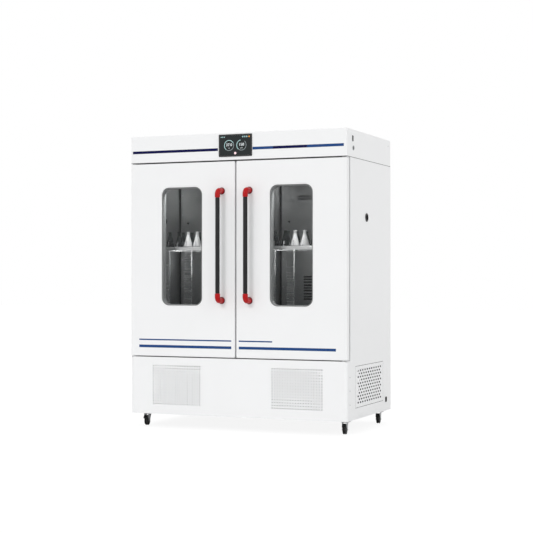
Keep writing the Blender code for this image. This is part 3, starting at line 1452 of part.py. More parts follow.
def make_cooling():
    """Compressor and fan-cooled condenser on the pan of the base."""
    seat = PAN_TOP + GAP
    height = COMPRESSOR_HEIGHT
    profile = [
        (0, 0),
        (COMPRESSOR_FOOT_RADIUS, 0),
        (COMPRESSOR_FOOT_RADIUS, COMPRESSOR_FOOT),
        (COMPRESSOR_HEEL_RADIUS, COMPRESSOR_FOOT),
        (COMPRESSOR_RADIUS, COMPRESSOR_BELLY),
        (COMPRESSOR_RADIUS, height - COMPRESSOR_SHOULDER),
        (COMPRESSOR_NECK_RADIUS, height - COMPRESSOR_NECK),
        (COMPRESSOR_CAP_RADIUS, height),
        (0, height),
    ]
    place = (COMPRESSOR_X, FRONT + COMPRESSOR_DEPTH, seat)
    add_part("compressor", revolve(profile, place, 18), "dark_steel", smooth=True)

    half = CONDENSER_WIDTH / 2
    front = FRONT + CONDENSER_DEPTH
    core_rear = front + CONDENSER_CORE
    shroud_rear = core_rear + SHROUD_DEPTH
    top = seat + CONDENSER_HEIGHT
    middle = (seat + top) / 2
    core = block((CONDENSER_X - half, front, seat), (CONDENSER_X + half, core_rear, top))
    grooves = []
    for fin in range(CONDENSER_FINS):
        x = CONDENSER_X + (fin - (CONDENSER_FINS - 1) / 2) * CONDENSER_WIDTH / (CONDENSER_FINS + 1)
        low = (x, front - OVERSHOOT, seat + FIN_GROOVE)
        high = (x + FIN_GROOVE, core_rear - FIN_GROOVE, top - FIN_GROOVE)
        grooves.append(block(low, high))
    core = cut(core, grouped(grooves))
    shroud = block((CONDENSER_X - half, core_rear - GAP, seat), (CONDENSER_X + half, shroud_rear, top))
    ring = circle(CONDENSER_X, middle, COOLING_FAN_RADIUS + SHROUD_CLEARANCE, 20)
    shroud = cut(shroud, prism(ring, core_rear + 2 * GAP, shroud_rear + OVERSHOOT, "Y"))
    motor_front = shroud_rear + GAP - FAN_BLADE_THICKNESS
    bar = block(
        (CONDENSER_X - half, motor_front, middle - COOLING_MOTOR_BAR / 2),
        (CONDENSER_X + half, shroud_rear + FAN_BLADE_THICKNESS, middle + COOLING_MOTOR_BAR / 2),
    )
    motor = prism(
        circle(CONDENSER_X, middle, FAN_MOTOR_RADIUS, 16), motor_front, motor_front + FAN_MOTOR_LENGTH, "Y"
    )
    bore = prism(
        circle(CONDENSER_X, middle, FAN_SHAFT_RADIUS + RUNNING, 10),
        motor_front - OVERSHOOT,
        motor_front + FAN_SHAFT_LENGTH,
        "Y",
    )
    add_part("condenser", cut(joined(core, shroud, bar, motor), bore), "zinc")
    centre = (CONDENSER_X, motor_front - 2 * GAP - FAN_DEPTH, middle)
    fan = make_fan(
        centre, COOLING_FAN_RADIUS, FAN_HUB_RADIUS, FAN_DEPTH, FAN_SHAFT_RADIUS, FAN_SHAFT_LENGTH
    )
    add_part("condenser_fan", fan, "black_plastic", centre)


def main():
    for thing in list(bpy.data.objects):
        bpy.data.objects.remove(thing)
    make_base_frame()
    make_base_front_panel()
    make_side_panels()
    make_side_grilles()
    make_back_panel()
    make_header_cover()
    make_insulation()
    make_door_frame()
    make_chamber_liners()
    make_duct_panels()
    make_display()
    make_side_fittings()
    make_rocker()
    make_doors()
    make_casters()
    make_drive_housings()
    make_cranks()
    make_racks()
    make_circulation_fans()
    make_cooling()


main()
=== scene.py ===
"""Looks of a floor-standing shaking incubator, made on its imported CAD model.

Metres, in the CAD model's frame: +X to the right of someone facing the doors, +Y to the
rear, +Z up from the floor. New pieces are surfaces worked out with numpy.
"""

import math

import bmesh
import bpy
import numpy as np
from bpy.props import FloatProperty, FloatVectorProperty, PointerProperty
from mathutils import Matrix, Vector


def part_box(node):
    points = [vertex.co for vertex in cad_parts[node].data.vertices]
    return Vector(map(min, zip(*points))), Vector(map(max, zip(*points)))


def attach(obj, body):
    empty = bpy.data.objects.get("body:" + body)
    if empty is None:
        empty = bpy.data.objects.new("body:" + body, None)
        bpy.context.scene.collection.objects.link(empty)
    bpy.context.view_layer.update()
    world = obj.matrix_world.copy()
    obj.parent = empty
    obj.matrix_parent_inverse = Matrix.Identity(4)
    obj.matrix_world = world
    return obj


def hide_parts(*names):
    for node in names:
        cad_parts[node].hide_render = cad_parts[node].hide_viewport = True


bl_info = {
    "name": "Shaking Incubator",
    "version": (1, 0, 0),
    "blender": (4, 5, 0),
    "location": "View3D > Sidebar > Incubator",
    "description": "Builds the looks of a twin-door shaking incubator on its CAD model",
    "category": "Add Mesh",
}

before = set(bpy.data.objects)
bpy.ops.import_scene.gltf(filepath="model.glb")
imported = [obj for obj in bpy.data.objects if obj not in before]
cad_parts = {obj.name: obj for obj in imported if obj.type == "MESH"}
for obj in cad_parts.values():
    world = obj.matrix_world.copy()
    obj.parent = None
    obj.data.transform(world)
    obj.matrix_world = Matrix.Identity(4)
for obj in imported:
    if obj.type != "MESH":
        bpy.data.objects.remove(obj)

# Gap between pieces that don't touch, sheet thickness, and thickness of a printed film
GAP = 0.0003
SHEET = 0.0015
DECAL = 0.0002

# Places read from the CAD model
PANEL_LOW, PANEL_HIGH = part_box("base_front_panel")
HEADER_LOW, HEADER_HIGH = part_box("header_cover")
SIDE = PANEL_HIGH[0]
FRONT = PANEL_LOW[1]
REAR = HEADER_HIGH[1]
BOTTOM = PANEL_LOW[2]
BASE_TOP = PANEL_HIGH[2]
FACE = PANEL_HIGH[1] + GAP
SIDES = {"left": -1, "right": 1}

# The world axes that a shape's u, v and depth lie on, by its axis
PLANES = {"X": (1, 2, 0), "Y": (0, 2, 1), "Z": (0, 1, 2)}


# Outlines, each an array of (u, v) points


def rounded(left, right, low, high, radius, steps=8):
    """Rounded rectangle: a quarter circle about a centre one radius inside each corner."""
    radius = max(radius, 0.00005)
    angles = np.radians(np.array([[-90], [0], [90], [180]]) + np.linspace(0, 90, steps + 1))
    centres = np.array(
        [
            (right - radius, low + radius),
            (right - radius, high - radius),
            (left + radius, high - radius),
            (left + radius, low + radius),
        ]
    )
    arcs = centres[:, None] + radius * np.stack([np.cos(angles), np.sin(angles)], -1)
    return arcs.reshape(-1, 2)


def circle(u, v, radius, sides=32):
    """Points at even angles: centre + radius (cos t, sin t)."""
    angles = np.linspace(0, math.tau, sides, endpoint=False)
    return np.stack([u + radius * np.cos(angles), v + radius * np.sin(angles)], -1)


def softened(points, cut, steps=4):
    """Polygon whose corners C are replaced by (1-t)^2 A + 2t(1-t) C + t^2 B, A and B one cut away."""
    corners = np.asarray(points, float)

    def toward(neighbours):
        """Points one cut away from the corners, on the way to their neighbours."""
        way = neighbours - corners
        length = np.linalg.norm(way, axis=1, keepdims=True)
        return corners + way / length * np.minimum(cut, 0.48 * length)

    before = toward(np.roll(corners, 1, axis=0))
    after = toward(np.roll(corners, -1, axis=0))
    t = np.linspace(0, 1, steps + 1)[None, :, None]
    curve = (1 - t) ** 2 * before[:, None] + 2 * t * (1 - t) * corners[:, None] + t**2 * after[:, None]
    return curve.reshape(-1, 2)


def rounding(radius, steps=4):
    """Quarter round as (inset, drop) pairs, from the side face to the front face."""
    angles = np.radians(np.linspace(0, 90, steps + 1))
    return np.stack([radius * (1 - np.cos(angles)), radius * (1 - np.sin(angles))], -1)


# Shapes, each a pair of points (n, 3) and faces


def place(u, v, depth, axis):
    """World points from u and v across an axis and the depth along it."""
    points = np.empty(np.broadcast(u, v, depth).shape + (3,))
    for values, direction in zip((u, v, depth), PLANES[axis]):
        points[..., direction] = values
    return points


def skin(points, close_u=False, close_v=False):
    """Quads between the neighbours of a grid of points; a closed direction joins its ends."""
    rows, columns = points.shape[:2]
    i, j = np.meshgrid(
        np.arange(rows if close_u else rows - 1),
        np.arange(columns if close_v else columns - 1),
        indexing="ij",
    )
    next_i = (i + 1) % rows
    next_j = (j + 1) % columns
    corners = [i * columns + j, next_i * columns + j, next_i * columns + next_j, i * columns + next_j]
    return points.reshape(-1, 3), np.stack(corners, -1).reshape(-1, 4).tolist()


def box(low, high):
    """The six faces between two corners."""
    low = np.asarray(low, float)
    high = np.asarray(high, float)
    corners = np.array([[x, y, z] for x in (0, 1) for y in (0, 1) for z in (0, 1)])
    faces = [(0, 1, 3, 2), (4, 6, 7, 5), (0, 4, 5, 1), (2, 3, 7, 6), (0, 2, 6, 4), (1, 5, 7, 3)]
    return low + corners * (high - low), faces


def prism(outline, start, end, axis):
    """An outline carried straight from start to end, with flat ends."""
    outline = np.asarray(outline, float)
    depth = np.array([start, end], float)[:, None]
    points, faces = skin(place(outline[None, :, 0], outline[None, :, 1], depth, axis), False, True)
    count = len(outline)
    return points, faces + [list(range(count)), list(range(count, 2 * count))]


def rings(outlines, depths, axis):
    """Tube of surface through outlines of equal length, back to the first one."""
    stack = np.stack(outlines)
    depth = np.asarray(depths, float)[:, None]
    return skin(place(stack[..., 0], stack[..., 1], depth, axis), True, True)


def slab(outlines, depths, axis):
    """Surface through outlines, closed at both ends by fans from the outlines' middles."""
    first, last = (np.broadcast_to(end.mean(0), end.shape) for end in (outlines[0], outlines[-1]))
    stack = np.stack([first, *outlines, last])
    depth = np.array([depths[0], *depths, depths[-1]], float)[:, None]
    return skin(place(stack[..., 0], stack[..., 1], depth, axis), False, True)


def lathe(profile, centre, axis, sides=32):
    """Profile turned about an axis: u = r cos t, v = r sin t, depth = h, moved to the centre."""
    radius, height = np.asarray(profile, float).T
    angles = np.linspace(0, math.tau, sides, endpoint=False)
    u = radius[:, None] * np.cos(angles)
    v = radius[:, None] * np.sin(angles)
    return skin(place(u, v, height[:, None], axis) + np.asarray(centre, float), False, True)


def turned_ring(profile, centre, axis, sides=32):
    """Closed profile turned about an axis into a ring."""
    points = lathe(profile, centre, axis, sides)[0]
    return skin(points.reshape(len(profile), sides, 3), True, True)


def bar(path, radius, across, sides=20):
    """Circle carried along a flat path: P + r (cos t N + sin t B), N square to the path's plane."""
    path = np.asarray(path, float)
    along = np.gradient(path, axis=0)
    along /= np.linalg.norm(along, axis=1, keepdims=True)
    first = np.broadcast_to(np.asarray(across, float), path.shape)
    second = np.cross(along, first)
    angles = np.linspace(0, math.tau, sides, endpoint=False)[None, :, None]
    radius = np.broadcast_to(radius, len(path))[:, None, None]
    tube = path[:, None] + radius * (np.cos(angles) * first[:, None] + np.sin(angles) * second[:, None])
    start, end = (np.broadcast_to(point, (1, sides, 3)) for point in (path[0], path[-1]))
    return skin(np.concatenate([start, tube, end]), False, True)


def punched(columns, rows, low, high, radius, front, back, axis, sides=16, straight=0):
    """Sheet with a round hole at each column and row, or a slot with a straight part along u.

    A cell reaches halfway to its neighbours, or to the sheet's edge. Its rectangle is
    (clip(1.414 cos t), clip(1.414 sin t)) times the reach each way; from there the surface
    runs to the circle (r cos t, r sin t), through the sheet and back to the rectangle.
    """
    edges = []
    for centres, start, end in ((columns, low[0], high[0]), (rows, low[1], high[1])):
        middles = (centres[1:] + centres[:-1]) / 2
        edges.append(np.concatenate([[start], middles, [end]]))
    holes = np.stack(np.meshgrid(columns, rows, indexing="ij"), -1).reshape(-1, 1, 2)
    lower = np.stack(np.meshgrid(edges[0][:-1], edges[1][:-1], indexing="ij"), -1).reshape(-1, 1, 2)
    upper = np.stack(np.meshgrid(edges[0][1:], edges[1][1:], indexing="ij"), -1).reshape(-1, 1, 2)
    angles = np.linspace(0, math.tau, sides, endpoint=False)
    unit = np.stack([np.cos(angles), np.sin(angles)], -1)
    square = np.clip(unit * math.sqrt(2), -1, 1)[None]
    corner = holes + np.where(square > 0, square * (upper - holes), square * (holes - lower))
    rim = holes + unit * radius + np.sign(np.round(unit, 6)) * (straight / 2, 0)
    stack = np.stack([corner, rim, rim, corner], 1)
    depth = np.array([front, front, back, back])[None, :, None]
    points = place(stack[..., 0], stack[..., 1], depth, axis)
    one = np.array(skin(points[0], False, True)[1])
    starts = np.arange(len(holes)) * 4 * sides
    return points.reshape(-1, 3), (one[None] + starts[:, None, None]).reshape(-1, 4).tolist()


def band(u, v, inner, outer, start, end, front, axis="Y", steps=40):
    """Part of a flat ring from one angle to another, its two ends drawn in to a point."""
    angles = np.radians(np.linspace(start, end, steps))
    angles = np.concatenate([angles[:1], angles, angles[-1:]])[:, None]
    width = np.concatenate([[0], np.ones(steps), [0]])[:, None]
    middle = (inner + outer) / 2
    radius = middle + width * (np.array([inner, outer, outer, inner]) - middle)
    depth = front + DECAL * np.array([0, 0, 1, 1]) * width
    return skin(place(u + radius * np.cos(angles), v + radius * np.sin(angles), depth, axis), False, True)


def mirrored(shape, side):
    """The shape as worked out for the right side, or its mirror image for the left."""
    points, faces = shape
    return points * (side, 1, 1), faces


def turned(shape, centre, degrees, axis="Z"):
    """The shape turned about an axis: u' = u cos a - v sin a, v' = u sin a + v cos a."""
    points, faces = shape
    first, second, _ = PLANES[axis]
    angle = math.radians(degrees)
    centre = np.asarray(centre, float)
    away = points - centre
    result = away.copy()
    result[:, first] = away[:, first] * math.cos(angle) - away[:, second] * math.sin(angle)
    result[:, second] = away[:, first] * math.sin(angle) + away[:, second] * math.cos(angle)
    return result + centre, faces


def lettering(text, size, u, v, front):
    """Digits or a unit as thin raised shapes, centred on (u, v) of a front face."""
    curve = bpy.data.curves.new("lettering", "FONT")
    curve.body = text
    curve.size = size
    curve.align_x = "CENTER"
    curve.align_y = "CENTER"
    curve.extrude = DECAL / 2
    curve.resolution_u = 3
    holder = bpy.data.objects.new("lettering", curve)
    mesh = bpy.data.meshes.new_from_object(holder)
    flat = np.empty(len(mesh.vertices) * 3)
    mesh.vertices.foreach_get("co", flat)
    flat = flat.reshape(-1, 3)
    faces = [list(polygon.vertices) for polygon in mesh.polygons]
    bpy.data.objects.remove(holder)
    bpy.data.curves.remove(curve)
    bpy.data.meshes.remove(mesh)
    return place(u + flat[:, 0], v + flat[:, 1], front - flat[:, 2], "Y"), faces


# Pieces


def piece(name, shapes, finish, body, stands_for=(), smooth=True, even=False):
    """One object at the origin from shapes, riding on a body.

    Each shape's doubles are merged, its open rims are bridged and its faces turned outwards.
    Even pieces get normals weighted by face area, so flat faces beside small rounds stay flat.
    """
    whole = bmesh.new()
    for points, faces in shapes:
        mesh = bpy.data.meshes.new("shape")
        mesh.from_pydata(points.tolist(), [], faces)
        part = bmesh.new()
        part.from_mesh(mesh)
        bmesh.ops.remove_doubles(part, verts=part.verts, dist=0.000004)
        rims = [edge for edge in part.edges if edge.is_boundary]
        if rims:
            bmesh.ops.bridge_loops(part, edges=rims)
        bmesh.ops.recalc_face_normals(part, faces=part.faces)
        part.to_mesh(mesh)
        part.free()
        whole.from_mesh(mesh)
        bpy.data.meshes.remove(mesh)
    mesh = bpy.data.meshes.new(name)
    whole.to_mesh(mesh)
    whole.free()
    if smooth:
        mesh.shade_smooth()
        mesh.set_sharp_from_angle(angle=math.radians(38))
    mesh.materials.append(finish)
    thing = bpy.data.objects.new(name, mesh)
    bpy.context.scene.collection.objects.link(thing)
    if even:
        modifier = thing.modifiers.new("Even faces", "WEIGHTED_NORMAL")
        modifier.keep_sharp = True
    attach(thing, body)
    if stands_for:
        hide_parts(*stands_for)
    return thing


def refinish(finish, *nodes):
    """Give CAD nodes, which keep their shape, a better material."""
    for node in nodes:
        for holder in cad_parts[node].material_slots:
            holder.material = finish


# Finishes

# Size of the base's front corners that the painted shade inside the base leaves out
SHADE_CORNER = 0.025


class Value:
    """A node's output socket; arithmetic on it adds Math nodes."""

    def __init__(self, maker, socket):
        self.maker = maker
        self.socket = socket

    def math(self, operation, *values):
        """Add a Math node to this value's material."""
        return self.maker.math(operation, *values)

    def __add__(self, other):
        return self.math("ADD", self, other)

    def __sub__(self, other):
        return self.math("SUBTRACT", self, other)

    def __rsub__(self, other):
        return self.math("SUBTRACT", other, self)

    def __mul__(self, other):
        return self.math("MULTIPLY", self, other)

    def __truediv__(self, other):
        return self.math("DIVIDE", self, other)

    def __rtruediv__(self, other):
        return self.math("DIVIDE", other, self)

    __radd__ = __add__
    __rmul__ = __mul__


class Finish:
    """A material under construction, with one method that adds nodes."""

    def __init__(self, name):
        self.material = bpy.data.materials.new(name)
        self.material.use_nodes = True
        self.tree = self.material.node_tree
        self.tree.nodes.clear()

    def node(self, kind, settings=None, values=None, output=0):
        """Add a node: its settings first, then the values or links of its sockets."""
        added = self.tree.nodes.new(kind)
        for key, value in (settings or {}).items():
            setattr(added, key, value)
        for key, value in (values or {}).items():
            if isinstance(value, Value):
                self.tree.links.new(value.socket, added.inputs[key])
            else:
                added.inputs[key].default_value = value
        return Value(self, added.outputs[output]) if len(added.outputs) else None

    def math(self, operation, *values):
        """Add a Math node."""
        return self.node("ShaderNodeMath", {"operation": operation}, dict(enumerate(values)))

    def noise(self, scale, detail=2.0, stretch=(1, 1, 1)):
        """Smooth noise on Object coordinates, stretched along the axes."""
        where = self.node("ShaderNodeTexCoord", output="Object")
        where = self.node("ShaderNodeMapping", {}, {"Vector": where, "Scale": stretch})
        return self.node("ShaderNodeTexNoise", {}, {"Vector": where, "Scale": scale, "Detail": detail})

    def blend(self, factor, first, second):
        """Mix two colours by a factor."""
        return self.node("ShaderNodeMix", {"data_type": "RGBA"}, {0: factor, 6: first, 7: second}, 2)

    def bump(self, height, strength, distance):
        """Normal from a height."""
        values = {"Height": height, "Strength": strength, "Distance": distance}
        return self.node("ShaderNodeBump", {}, values)

    def surface(self, **values):
        """Connect a Principled surface, spaces in its sockets' names written as underscores."""
        named = {key.replace("_", " "): value for key, value in values.items()}
        shader = self.node("ShaderNodeBsdfPrincipled", {}, named)
        self.node("ShaderNodeOutputMaterial", {}, {"Surface": shader})
        return self.material


def shade(colour, factor=1.0):
    """Four channels from three, darkened or lightened by a factor."""
    return (*(min(channel * factor, 1.0) for channel in colour), 1.0)


def powder_coat(name, colour, roughness=0.38, inside_shade=None):
    """Powder-coated steel: fine orange peel, and faint unevenness in tone and gloss.

    With a colour for painted shade, faces inside the base are drawn dark as the shade there:
    those behind its front and side skins and below its top, but not its rounded corners.
    """
    made = Finish(name)
    peel = made.noise(700.0)
    cloud = made.noise(3.0)
    tone = made.blend(cloud, shade(colour, 0.985), shade(colour, 1.01))
    # Painted shade: faces inside the base drawn near black
    if inside_shade:
        where = made.node("ShaderNodeTexCoord", output="Object")
        x, y, z = (made.node("ShaderNodeSeparateXYZ", {}, {"Vector": where}, output) for output in range(3))
        across = made.math("ABSOLUTE", x)
        corner = made.math("GREATER_THAN", across, SIDE - SHADE_CORNER)
        corner = corner * made.math("LESS_THAN", y, FRONT + SHADE_CORNER)
        sides = made.math("LESS_THAN", across, SIDE - SHEET / 2)
        front = made.math("GREATER_THAN", y, FRONT + SHEET / 2)
        rear = made.math("LESS_THAN", y, REAR - SHEET / 2)
        below = made.math("LESS_THAN", z, BASE_TOP - SHEET / 2)
        inside = sides * front * rear * below * (1.0 - corner)
        tone = made.blend(inside, tone, shade(inside_shade))
    return made.surface(
        Base_Color=tone,
        Roughness=cloud * 0.06 + (roughness - 0.03),
        Normal=made.bump(peel, 0.35, 0.00006),
        Coat_Weight=0.06,
    )


def brushed_steel(name, colour, stretch, roughness=0.30):
    """Stainless sheet with fine scratches along the axis that isn't stretched."""
    made = Finish(name)
    lines = made.noise(160.0, 3.0, stretch)
    cloud = made.noise(4.0)
    return made.surface(
        Base_Color=made.blend(lines, shade(colour, 0.93), shade(colour, 1.05)),
        Metallic=1.0,
        Roughness=lines * 0.14 + cloud * 0.06 + (roughness - 0.10),
        Normal=made.bump(lines, 0.25, 0.00005),
    )


def plated_steel(name, colour, roughness=0.34):
    """Zinc-plated steel with a mottled bloom."""
    made = Finish(name)
    spots = made.noise(60.0, 4.0)
    return made.surface(
        Base_Color=made.blend(spots, shade(colour, 0.82), shade(colour, 1.1)),
        Metallic=1.0,
        Roughness=spots * 0.22 + (roughness - 0.11),
        Normal=made.bump(made.noise(400.0), 0.2, 0.00004),
    )


def moulded(name, colour, roughness=0.45, grain=0.00003, gloss=0.5):
    """Moulded plastic or rubber with a fine texture."""
    made = Finish(name)
    texture = made.noise(900.0, 3.0)
    cloud = made.noise(8.0)
    return made.surface(
        Base_Color=made.blend(cloud, shade(colour, 0.92), shade(colour, 1.06)),
        Roughness=texture * 0.10 + (roughness - 0.05),
        Normal=made.bump(texture, 0.4, grain),
        Specular_IOR_Level=gloss,
    )


def foam_grip(name, colour):
    """Closed-cell foam rubber: open pores over soft mottling."""
    made = Finish(name)
    pores = made.noise(1400.0, 4.0)
    cloud = made.noise(40.0, 3.0)
    return made.surface(
        Base_Color=made.blend(pores, shade(colour, 0.6), shade(colour, 1.5)),
        Roughness=cloud * 0.12 + 0.50,
        Normal=made.bump(pores + cloud, 0.5, 0.00012),
        Specular_IOR_Level=0.25,
    )


def thin_glass(name, colour, opacity, roughness=0.03):
    """Thin glass whose tint is its opacity, with faint smears in its gloss."""
    made = Finish(name)
    smear = made.noise(5.0, 3.0)
    return made.surface(
        Base_Color=shade(colour),
        Roughness=smear * 0.03 + roughness,
        Alpha=opacity,
        IOR=1.5,
        Specular_IOR_Level=0.15,
    )


def glowing(name, colour, strength):
    """Lit part of the screen's picture."""
    made = Finish(name)
    return made.surface(
        Base_Color=shade(colour, 0.3),
        Roughness=0.25,
        Emission_Color=shade(colour),
        Emission_Strength=strength,
    )


def printed(name, colour):
    """Satin printed film."""
    made = Finish(name)
    cloud = made.noise(12.0)
    return made.surface(
        Base_Color=made.blend(cloud, shade(colour, 0.95), shade(colour, 1.05)),
        Roughness=cloud * 0.05 + 0.38,
        Specular_IOR_Level=0.12,
    )


def finish_named(name, make, *values):
    """The material of that name, made on first use."""
    return bpy.data.materials.get(name) or make(name, *values)


# What a user may change


def colour_of(name, description, default):
    """A colour setting."""
    return FloatVectorProperty(
        name=name, description=description, default=default, subtype="COLOR", size=3, min=0.0, max=1.0
    )


def length_of(name, description, default):
    """A length setting."""
    return FloatProperty(name=name, description=description, default=default, unit="LENGTH", min=0.0)


def share_of(name, description, default, most=1.0):
    """A plain factor."""
    return FloatProperty(name=name, description=description, default=default, min=0.0, max=most)


class CabinetSettings(bpy.types.PropertyGroup):
    """Sizes and colours of the cabinet's skin"""

    paint: colour_of("Paint", "Colour of the outer panels", (0.87, 0.875, 0.88))
    # Near-black painted shade for the skins' faces inside the base, seen through the grille holes
    inside_shade: colour_of("Inside_shade", "Colour of the skins' faces inside the base", (0.035, 0.036, 0.038))
    grey: colour_of("Grey", "Colour of the frame and the drive housings", (0.16, 0.165, 0.17))
    navy: colour_of("Navy", "Dark part of the stripes", (0.001, 0.002, 0.054))
    blue: colour_of("Blue", "Light part of the stripes", (0.017, 0.062, 0.205))
    edge: length_of("Header edge", "Radius of the header's edges", 0.005)
    corner: length_of("Base corner", "Radius of the base panel's front corners", 0.022)
    front_hole: length_of("Front hole", "Radius of a hole in the front grilles", 0.0040)
    side_hole: length_of("Side slot", "End radius of a slot in the side grilles", 0.0056)
    screw: length_of("Screw", "Radius of a panel screw's head", 0.0042)


class FittingSettings(bpy.types.PropertyGroup):
    """Sizes and colours of the screen and the fittings"""

    black: colour_of("Black", "Colour of the black plastic", (0.012, 0.012, 0.013))
    ground: colour_of("Ground", "Colour behind the screen's picture", (0.014, 0.0185, 0.019))
    teal: colour_of("Teal", "Colour of the screen's marks", (0.42, 0.66, 0.66))
    ring: length_of("Ring", "Radius of a gauge on the screen", 0.034)
    glow: share_of("Glow", "Strength of the picture's light", 0.95, 10.0)


class DoorSettings(bpy.types.PropertyGroup):
    """Sizes and colours of the doors"""

    edge: length_of("Edge", "Radius of the front edges", 0.0042)
    corner: length_of("Corner", "Radius of the corners", 0.0046)
    trim: length_of("Trim", "Width of the trim round the window", 0.005)
    tint: colour_of("Tint", "Colour of the window glass", (0.012, 0.014, 0.015))
    density: share_of("Density", "Opacity of one face of the outer pane", 0.10)
    red: colour_of("Red", "Colour of the handles' elbows", (0.43, 0.004, 0.005))
    # The flanges' red is darkened towards purple: painted shade where the elbows meet the door
    flange: colour_of("Flange", "Colour of the handles' flanges", (0.16, 0.016, 0.024))
    grip: colour_of("Grip", "Colour of the handles' grips", (0.012, 0.012, 0.013))


class ChamberSettings(bpy.types.PropertyGroup):
    """Sizes and colours inside the chambers"""

    steel: colour_of("Steel", "Colour of the liner", (0.36, 0.365, 0.365))
    # The decks' steel is lifted near white, partly a painted highlight on their lips
    tray: colour_of("Tray", "Colour of the decks", (0.86, 0.87, 0.87))
    # Pale strips round the decks' lips: a painted highlight along the lips
    edging: colour_of("Edging", "Colour of the strips round the decks' lips", (0.88, 0.89, 0.89))
    lip: length_of("Lip", "Radius of a deck's edge", 0.006)
    flask: colour_of("Flask", "Colour of the flasks' glass", (0.055, 0.060, 0.060))
    clarity: share_of("Glass", "Opacity of a flask's wall", 0.30)
    # Two flasks per rack drawn in opaque white: a painted highlight for two bright flasks
    milky: colour_of("Milky glass", "Colour of the two milky flasks in each rack", (0.90, 0.91, 0.91))


class CasterSettings(bpy.types.PropertyGroup):
    """Sizes and colours of the casters"""

    tyre: colour_of("Tyre", "Colour of the wheels", (0.014, 0.014, 0.015))
    zinc: colour_of("Zinc", "Colour of the forks", (0.60, 0.61, 0.62))
    shoulder: length_of("Shoulder", "Radius of a tyre's shoulders", 0.007)


class StageSettings(bpy.types.PropertyGroup):
    """Camera, lights and floor"""

    lens: FloatProperty(name="Lens", description="Camera lens in millimetres", default=90.08, min=1.0)
    sky: share_of("Sky", "Strength of the even light", 0.72, 10.0)
    key: share_of("Key", "Strength of the light from the front", 0.80, 20.0)
    fill: share_of("Fill", "Strength of the light from the right", 0.55, 20.0)
    inside: FloatProperty(
        name="Inside", description="Power of each chamber's lamp", default=2.3, min=0.0, unit="POWER"
    )


def white_paint():
    """Powder coat of the outer panels, with painted shade on their faces inside the base."""
    settings = bpy.context.scene.incubator_cabinet
    return finish_named("White powder coat", powder_coat, settings.paint, 0.38, settings.inside_shade)


def grey_paint():
    """Powder coat of the frame and housings."""
    return finish_named("Grey powder coat", powder_coat, bpy.context.scene.incubator_cabinet.grey, 0.5)


def black_plastic():
    """Black moulded fittings."""
    return finish_named("Black plastic", moulded, bpy.context.scene.incubator_fittings.black, 0.4)


def black_rubber():
    """Black rubber of the door gaskets, and of the dark strips and rings that paint the shade in seams, gaps
    and corners.
    """
    return finish_named("Gasket rubber", moulded, (0.035, 0.035, 0.036), 0.6)


def zinc_plate():
    """Zinc-plated steel."""
    return finish_named("Zinc plate", plated_steel, bpy.context.scene.incubator_casters.zinc)


# Cabinet

# Grids of holes in the front grilles, and of slots in the side grilles
FRONT_GRILLE_X = 0.418
FRONT_GRILLE_Z = BOTTOM + 0.191
FRONT_COLUMNS = 20
FRONT_ROWS = 15
FRONT_PITCH_X = 0.0175
FRONT_PITCH_Z = 0.01757
SIDE_COLUMNS = 11
SIDE_ROWS = 11
SIDE_PITCH_Y = 0.0455
SIDE_PITCH_Z = 0.0201
SIDE_SLOT = 0.013

# Widths of a side grille's flange, of the dark joint round its face and of the dark ring behind the
# joint that paints the joint's shade, then the ring's two faces
GRILLE_FLANGE = 0.012
GRILLE_JOINT = 0.0042
GRILLE_SHADE_WIDTH = 0.019
GRILLE_SHADE_REAR = SIDE - 0.0040
GRILLE_SHADE_FRONT = SIDE - 0.0010

# Height of the dark ring under the header that paints the seam's shade, then the dark strips that
# paint the shade in the door gaps: half their length, and their front
SEAM = 0.0026
GAP_STRIP_END = 0.744
GAP_STRIP_FRONT = FRONT + 0.003

# Places of the screws in a side
BASE_SCREW_Y = FRONT + 0.051
BASE_SCREWS = (0.099, 0.186, 0.270)
REAR_SCREW = (SIDE, FRONT + 0.836, BOTTOM + 1.769)

# Stripes: left and right ends, and on the doors also height above the base and width
STRIPE_Z = BOTTOM + 1.705
STRIPE_HEIGHT = 0.0175
HEADER_STRIPES = {
    "navy": [(-0.737, -0.123), (0.258, 0.487)],
    "blue": [(0.118, 0.258), (0.487, 0.729)],
}
DOOR_STRIPES = [
    ("left", -0.689, -0.029, 0.483, 0.0085),
    ("left", -0.689, -0.029, 0.440, 0.0175),
    ("right", 0.023, 0.252, 0.483, 0.0085),
    ("right", 0.023, 0.677, 0.440, 0.0175),
]


def spaced(count, middle, pitch):
    """Places at an even pitch about a middle."""
    return middle + (np.arange(count) - (count - 1) / 2) * pitch


def header_plan(inset, edge):
    """The header's plan, drawn in by an inset."""
    return rounded(-SIDE + inset, SIDE - inset, FRONT + inset, REAR - inset, edge - inset)


def header_shape(edge):
    """Folded cover: outlines from the roof's middle out and down, then in and up inside."""
    roof = HEADER_HIGH[2]
    base = HEADER_LOW[2]
    outlines = [header_plan(inset, edge) for inset, drop in rounding(edge)[::-1]]
    depths = [roof - drop for inset, drop in rounding(edge)[::-1]]
    mouth = rounded(-SIDE + SHEET, SIDE - SHEET, FACE, REAR - SHEET, edge - SHEET)
    outlines += [header_plan(0, edge), mouth, mouth, header_plan(SHEET, edge), header_plan(SHEET, edge)]
    depths += [base, base, base + SHEET, base + SHEET, roof - SHEET]
    return slab(outlines, depths, "Z")


def film(outline, front):
    """An outline given the thickness of a printed film, behind its front."""
    return slab([outline, outline], [front, front + DECAL], "Y")


def strip(left, right, middle, height):
    """Thin printed band on a front face."""
    outline = rounded(left, right, middle - height / 2, middle + height / 2, 0.0008, 2)
    return film(outline, FRONT - DECAL - GAP / 3)


